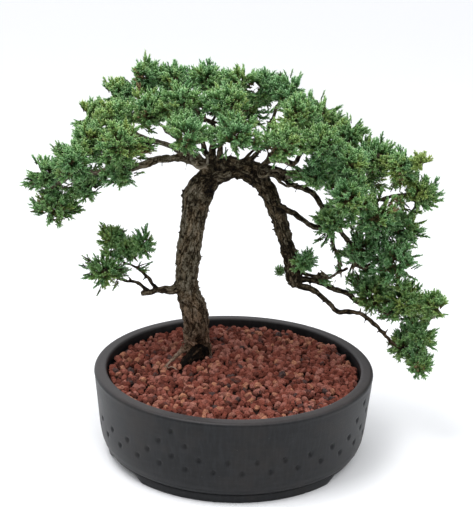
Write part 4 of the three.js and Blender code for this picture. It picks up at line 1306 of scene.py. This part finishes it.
def isBuried(name, place):
    for other, (centre, reach) in tuftBoxes.items():
        away = math.sqrt(sum(((place[k] - centre[k] / mm) / (reach[k] / mm)) ** 2 for k in range(3)))
        if away < (foliage['buried'] if other != name else 0.3):
            return True
    return False


def fingerPoints(name, chance):  # each spray is a fan of fingers around one that reaches its tip
    places, aims, spans, tints = [], [], [], []
    lift = Vector((0, 0, foliage['lift']))
    hanging = [(Vector(start), Vector(tip)) for start, tip in looseSprays.get(name, [])]
    for start, tip in tuftSprays(name, chance) + hanging:
        hangs = (start, tip) in hanging
        reach = (tip - start).length
        aim = (tip - start).normalized()
        spray = reach if hangs else min(0.8 * reach, foliage['sprayLength'])
        aside = aim.cross(anyWay(chance)).normalized()
        sprayTint = toneAt(tip) + chance.gauss(0, 0.1)
        full = hangs or reach > 14 and not isOpen(name)
        sideCount = foliage['sideFingers'] if full else foliage['fewSideFingers']
        for number in range(sideCount + 1):
            length = min(foliage['fingerLength'], 0.62 * reach + 2) * chance.uniform(0.85, 1.08)
            length *= 0.8 if hangs else 1.0
            if number == 0:
                end, lean = tip, aim + lift * 0.5
            else:
                turn = foliage['goldenTurn'] * number + chance.uniform(-0.5, 0.5)
                around = aside * math.cos(turn) + aim.cross(aside) * math.sin(turn)
                lean = aim + around * chance.uniform(0.4, 0.7) + lift
                length *= 0.9
                end = tip - aim * (spray - length) * chance.uniform(0.15, 0.95)
                end += around * chance.uniform(2.5, 5.5)
            lean = lean.normalized()
            middle = end - lean * length * 0.5
            if not hangs and (isBuried(name, middle) or inGap(end) or inGap(middle)):
                continue
            places.append((end - lean * length) * mm)
            aims.append(lean)
            wide = min(length, foliage['fingerWide']) * chance.uniform(0.9, 1.15) * mm
            spans.append((wide, wide, length * mm))
            dead = isRusty(end) and chance.random() < foliage['deadShare']
            tints.append(1.0 if dead else min(0.9, max(0.0, sprayTint + chance.gauss(0, 0.08))))
    return pointCloud('fingerPlaces', places, aim=aims, span=spans, tint=tints)


def settleTone(mesh):  # the map becomes (tone of finger and leaf, place along the finger)
    corners = readValues(mesh.loops, 'vertex_index', kind=np.int32)
    tint = readValues(mesh.attributes['tint'].data, 'value')[corners]
    layer = mesh.uv_layers['OFBake']
    values = readValues(layer.data, 'uv', 2)
    living = np.clip(tint + (values[:, 0] - 0.5) * 0.3, 0.02, 0.88)
    values[:, 0] = np.where(tint > 0.95, 0.97, living)
    values[:, 1] = np.clip(values[:, 1], 0.02, 0.98)
    layer.data.foreach_set('uv', values.ravel())


def leafFinish(name, shades):
    leaf = Finish(name, Roughness=0.5, Specular_IOR_Level=0.4)
    place = leaf.node('ShaderNodeUVMap', {'uv_map': 'OFBake'})
    tone, along = leaf.part(place, 'X'), leaf.part(place, 'Y')
    # each ramp runs from painted shade at the finger's base to a pale tip with painted highlight
    cool, fresh, warm, dead = (leaf.ramp(along, shades[kind]) for kind in ('cool', 'fresh', 'warm', 'dead'))
    lower = leaf.blend((tone * 2.0).clamped(), cool, fresh)
    living = leaf.blend((tone * 2.4 - 1.2).clamped(), lower, warm)
    leaf.feed('Base Color', leaf.blend((tone * 20.0 - 18.2).clamped(), living, dead))
    leaf.feed('Roughness', 0.62 - along * 0.2)
    return leaf.material


deadShades = [(0.0, (0.07, 0.048, 0.022)), (0.5, (0.17, 0.11, 0.045)), (1.0, (0.36, 0.25, 0.12))]
greenShades = {  # colours along a leaf: dark low down as painted shade inside the tuft, pale at the tip as paler new growth and painted highlight
    'dead': deadShades,
    'cool': [(0.0, (0.14, 0.08, 0.03)), (0.1, (0.05, 0.054, 0.016)), (0.16, (0.013, 0.046, 0.009)),
             (0.45, (0.043, 0.138, 0.03)), (0.75, (0.165, 0.385, 0.15)), (1.0, (0.7, 0.96, 0.62))],
    'fresh': [(0.0, (0.18, 0.1, 0.03)), (0.1, (0.08, 0.07, 0.018)), (0.16, (0.024, 0.062, 0.009)),
              (0.45, (0.078, 0.185, 0.03)), (0.75, (0.24, 0.46, 0.14)), (1.0, (0.8, 0.98, 0.55))],
    'warm': [(0.0, (0.22, 0.11, 0.03)), (0.1, (0.12, 0.08, 0.018)), (0.16, (0.055, 0.07, 0.009)),
             (0.45, (0.145, 0.195, 0.025)), (0.75, (0.35, 0.46, 0.095)), (1.0, (0.8, 0.9, 0.38))],
}
# the same run along a leaf: painted shade at the base, paler new growth and painted highlight at the tip
youngShades = {
    'dead': deadShades,
    'cool': [(0.0, (0.14, 0.08, 0.02)), (0.16, (0.06, 0.09, 0.015)), (0.5, (0.15, 0.25, 0.04)),
             (1.0, (0.5, 0.72, 0.22))],
    'fresh': [(0.0, (0.16, 0.08, 0.02)), (0.16, (0.08, 0.1, 0.015)), (0.5, (0.2, 0.29, 0.05)),
              (1.0, (0.58, 0.76, 0.25))],
    'warm': [(0.0, (0.18, 0.09, 0.02)), (0.16, (0.12, 0.11, 0.015)), (0.5, (0.28, 0.33, 0.05)),
             (1.0, (0.66, 0.76, 0.28))],
}


def pieceName(node):
    parts = node.split('_')
    return parts[0] + ''.join(part.capitalize() for part in parts[1:])


fingerKinds = makeFingerKinds()
fingers = fingerTree()
tuftBoxes = {name: nodeBox(name) for name in foliageNodes}
green = leafFinish('juniperLeaf', greenShades)
young = leafFinish('juniperNewLeaf', youngShades)
leafFaces = 0
for order, name in enumerate(foliageNodes):
    chance = random.Random(foliage['seed'] * 100 + order)
    fresh = name == 'foliage_tip_1'
    finish, slot = (young, 'youngLeaf') if fresh else (green, 'leaf')
    tuft = fingers.grow(fingerPoints(name, chance), pieceName(name), finish, Fingers=fingerKinds, Seed=order)
    settleTone(tuft.data)
    dress(tuft, finish, name)
    leafFaces += len(tuft.data.polygons)
removeCollection(fingerKinds)
print('foliage made', leafFaces)
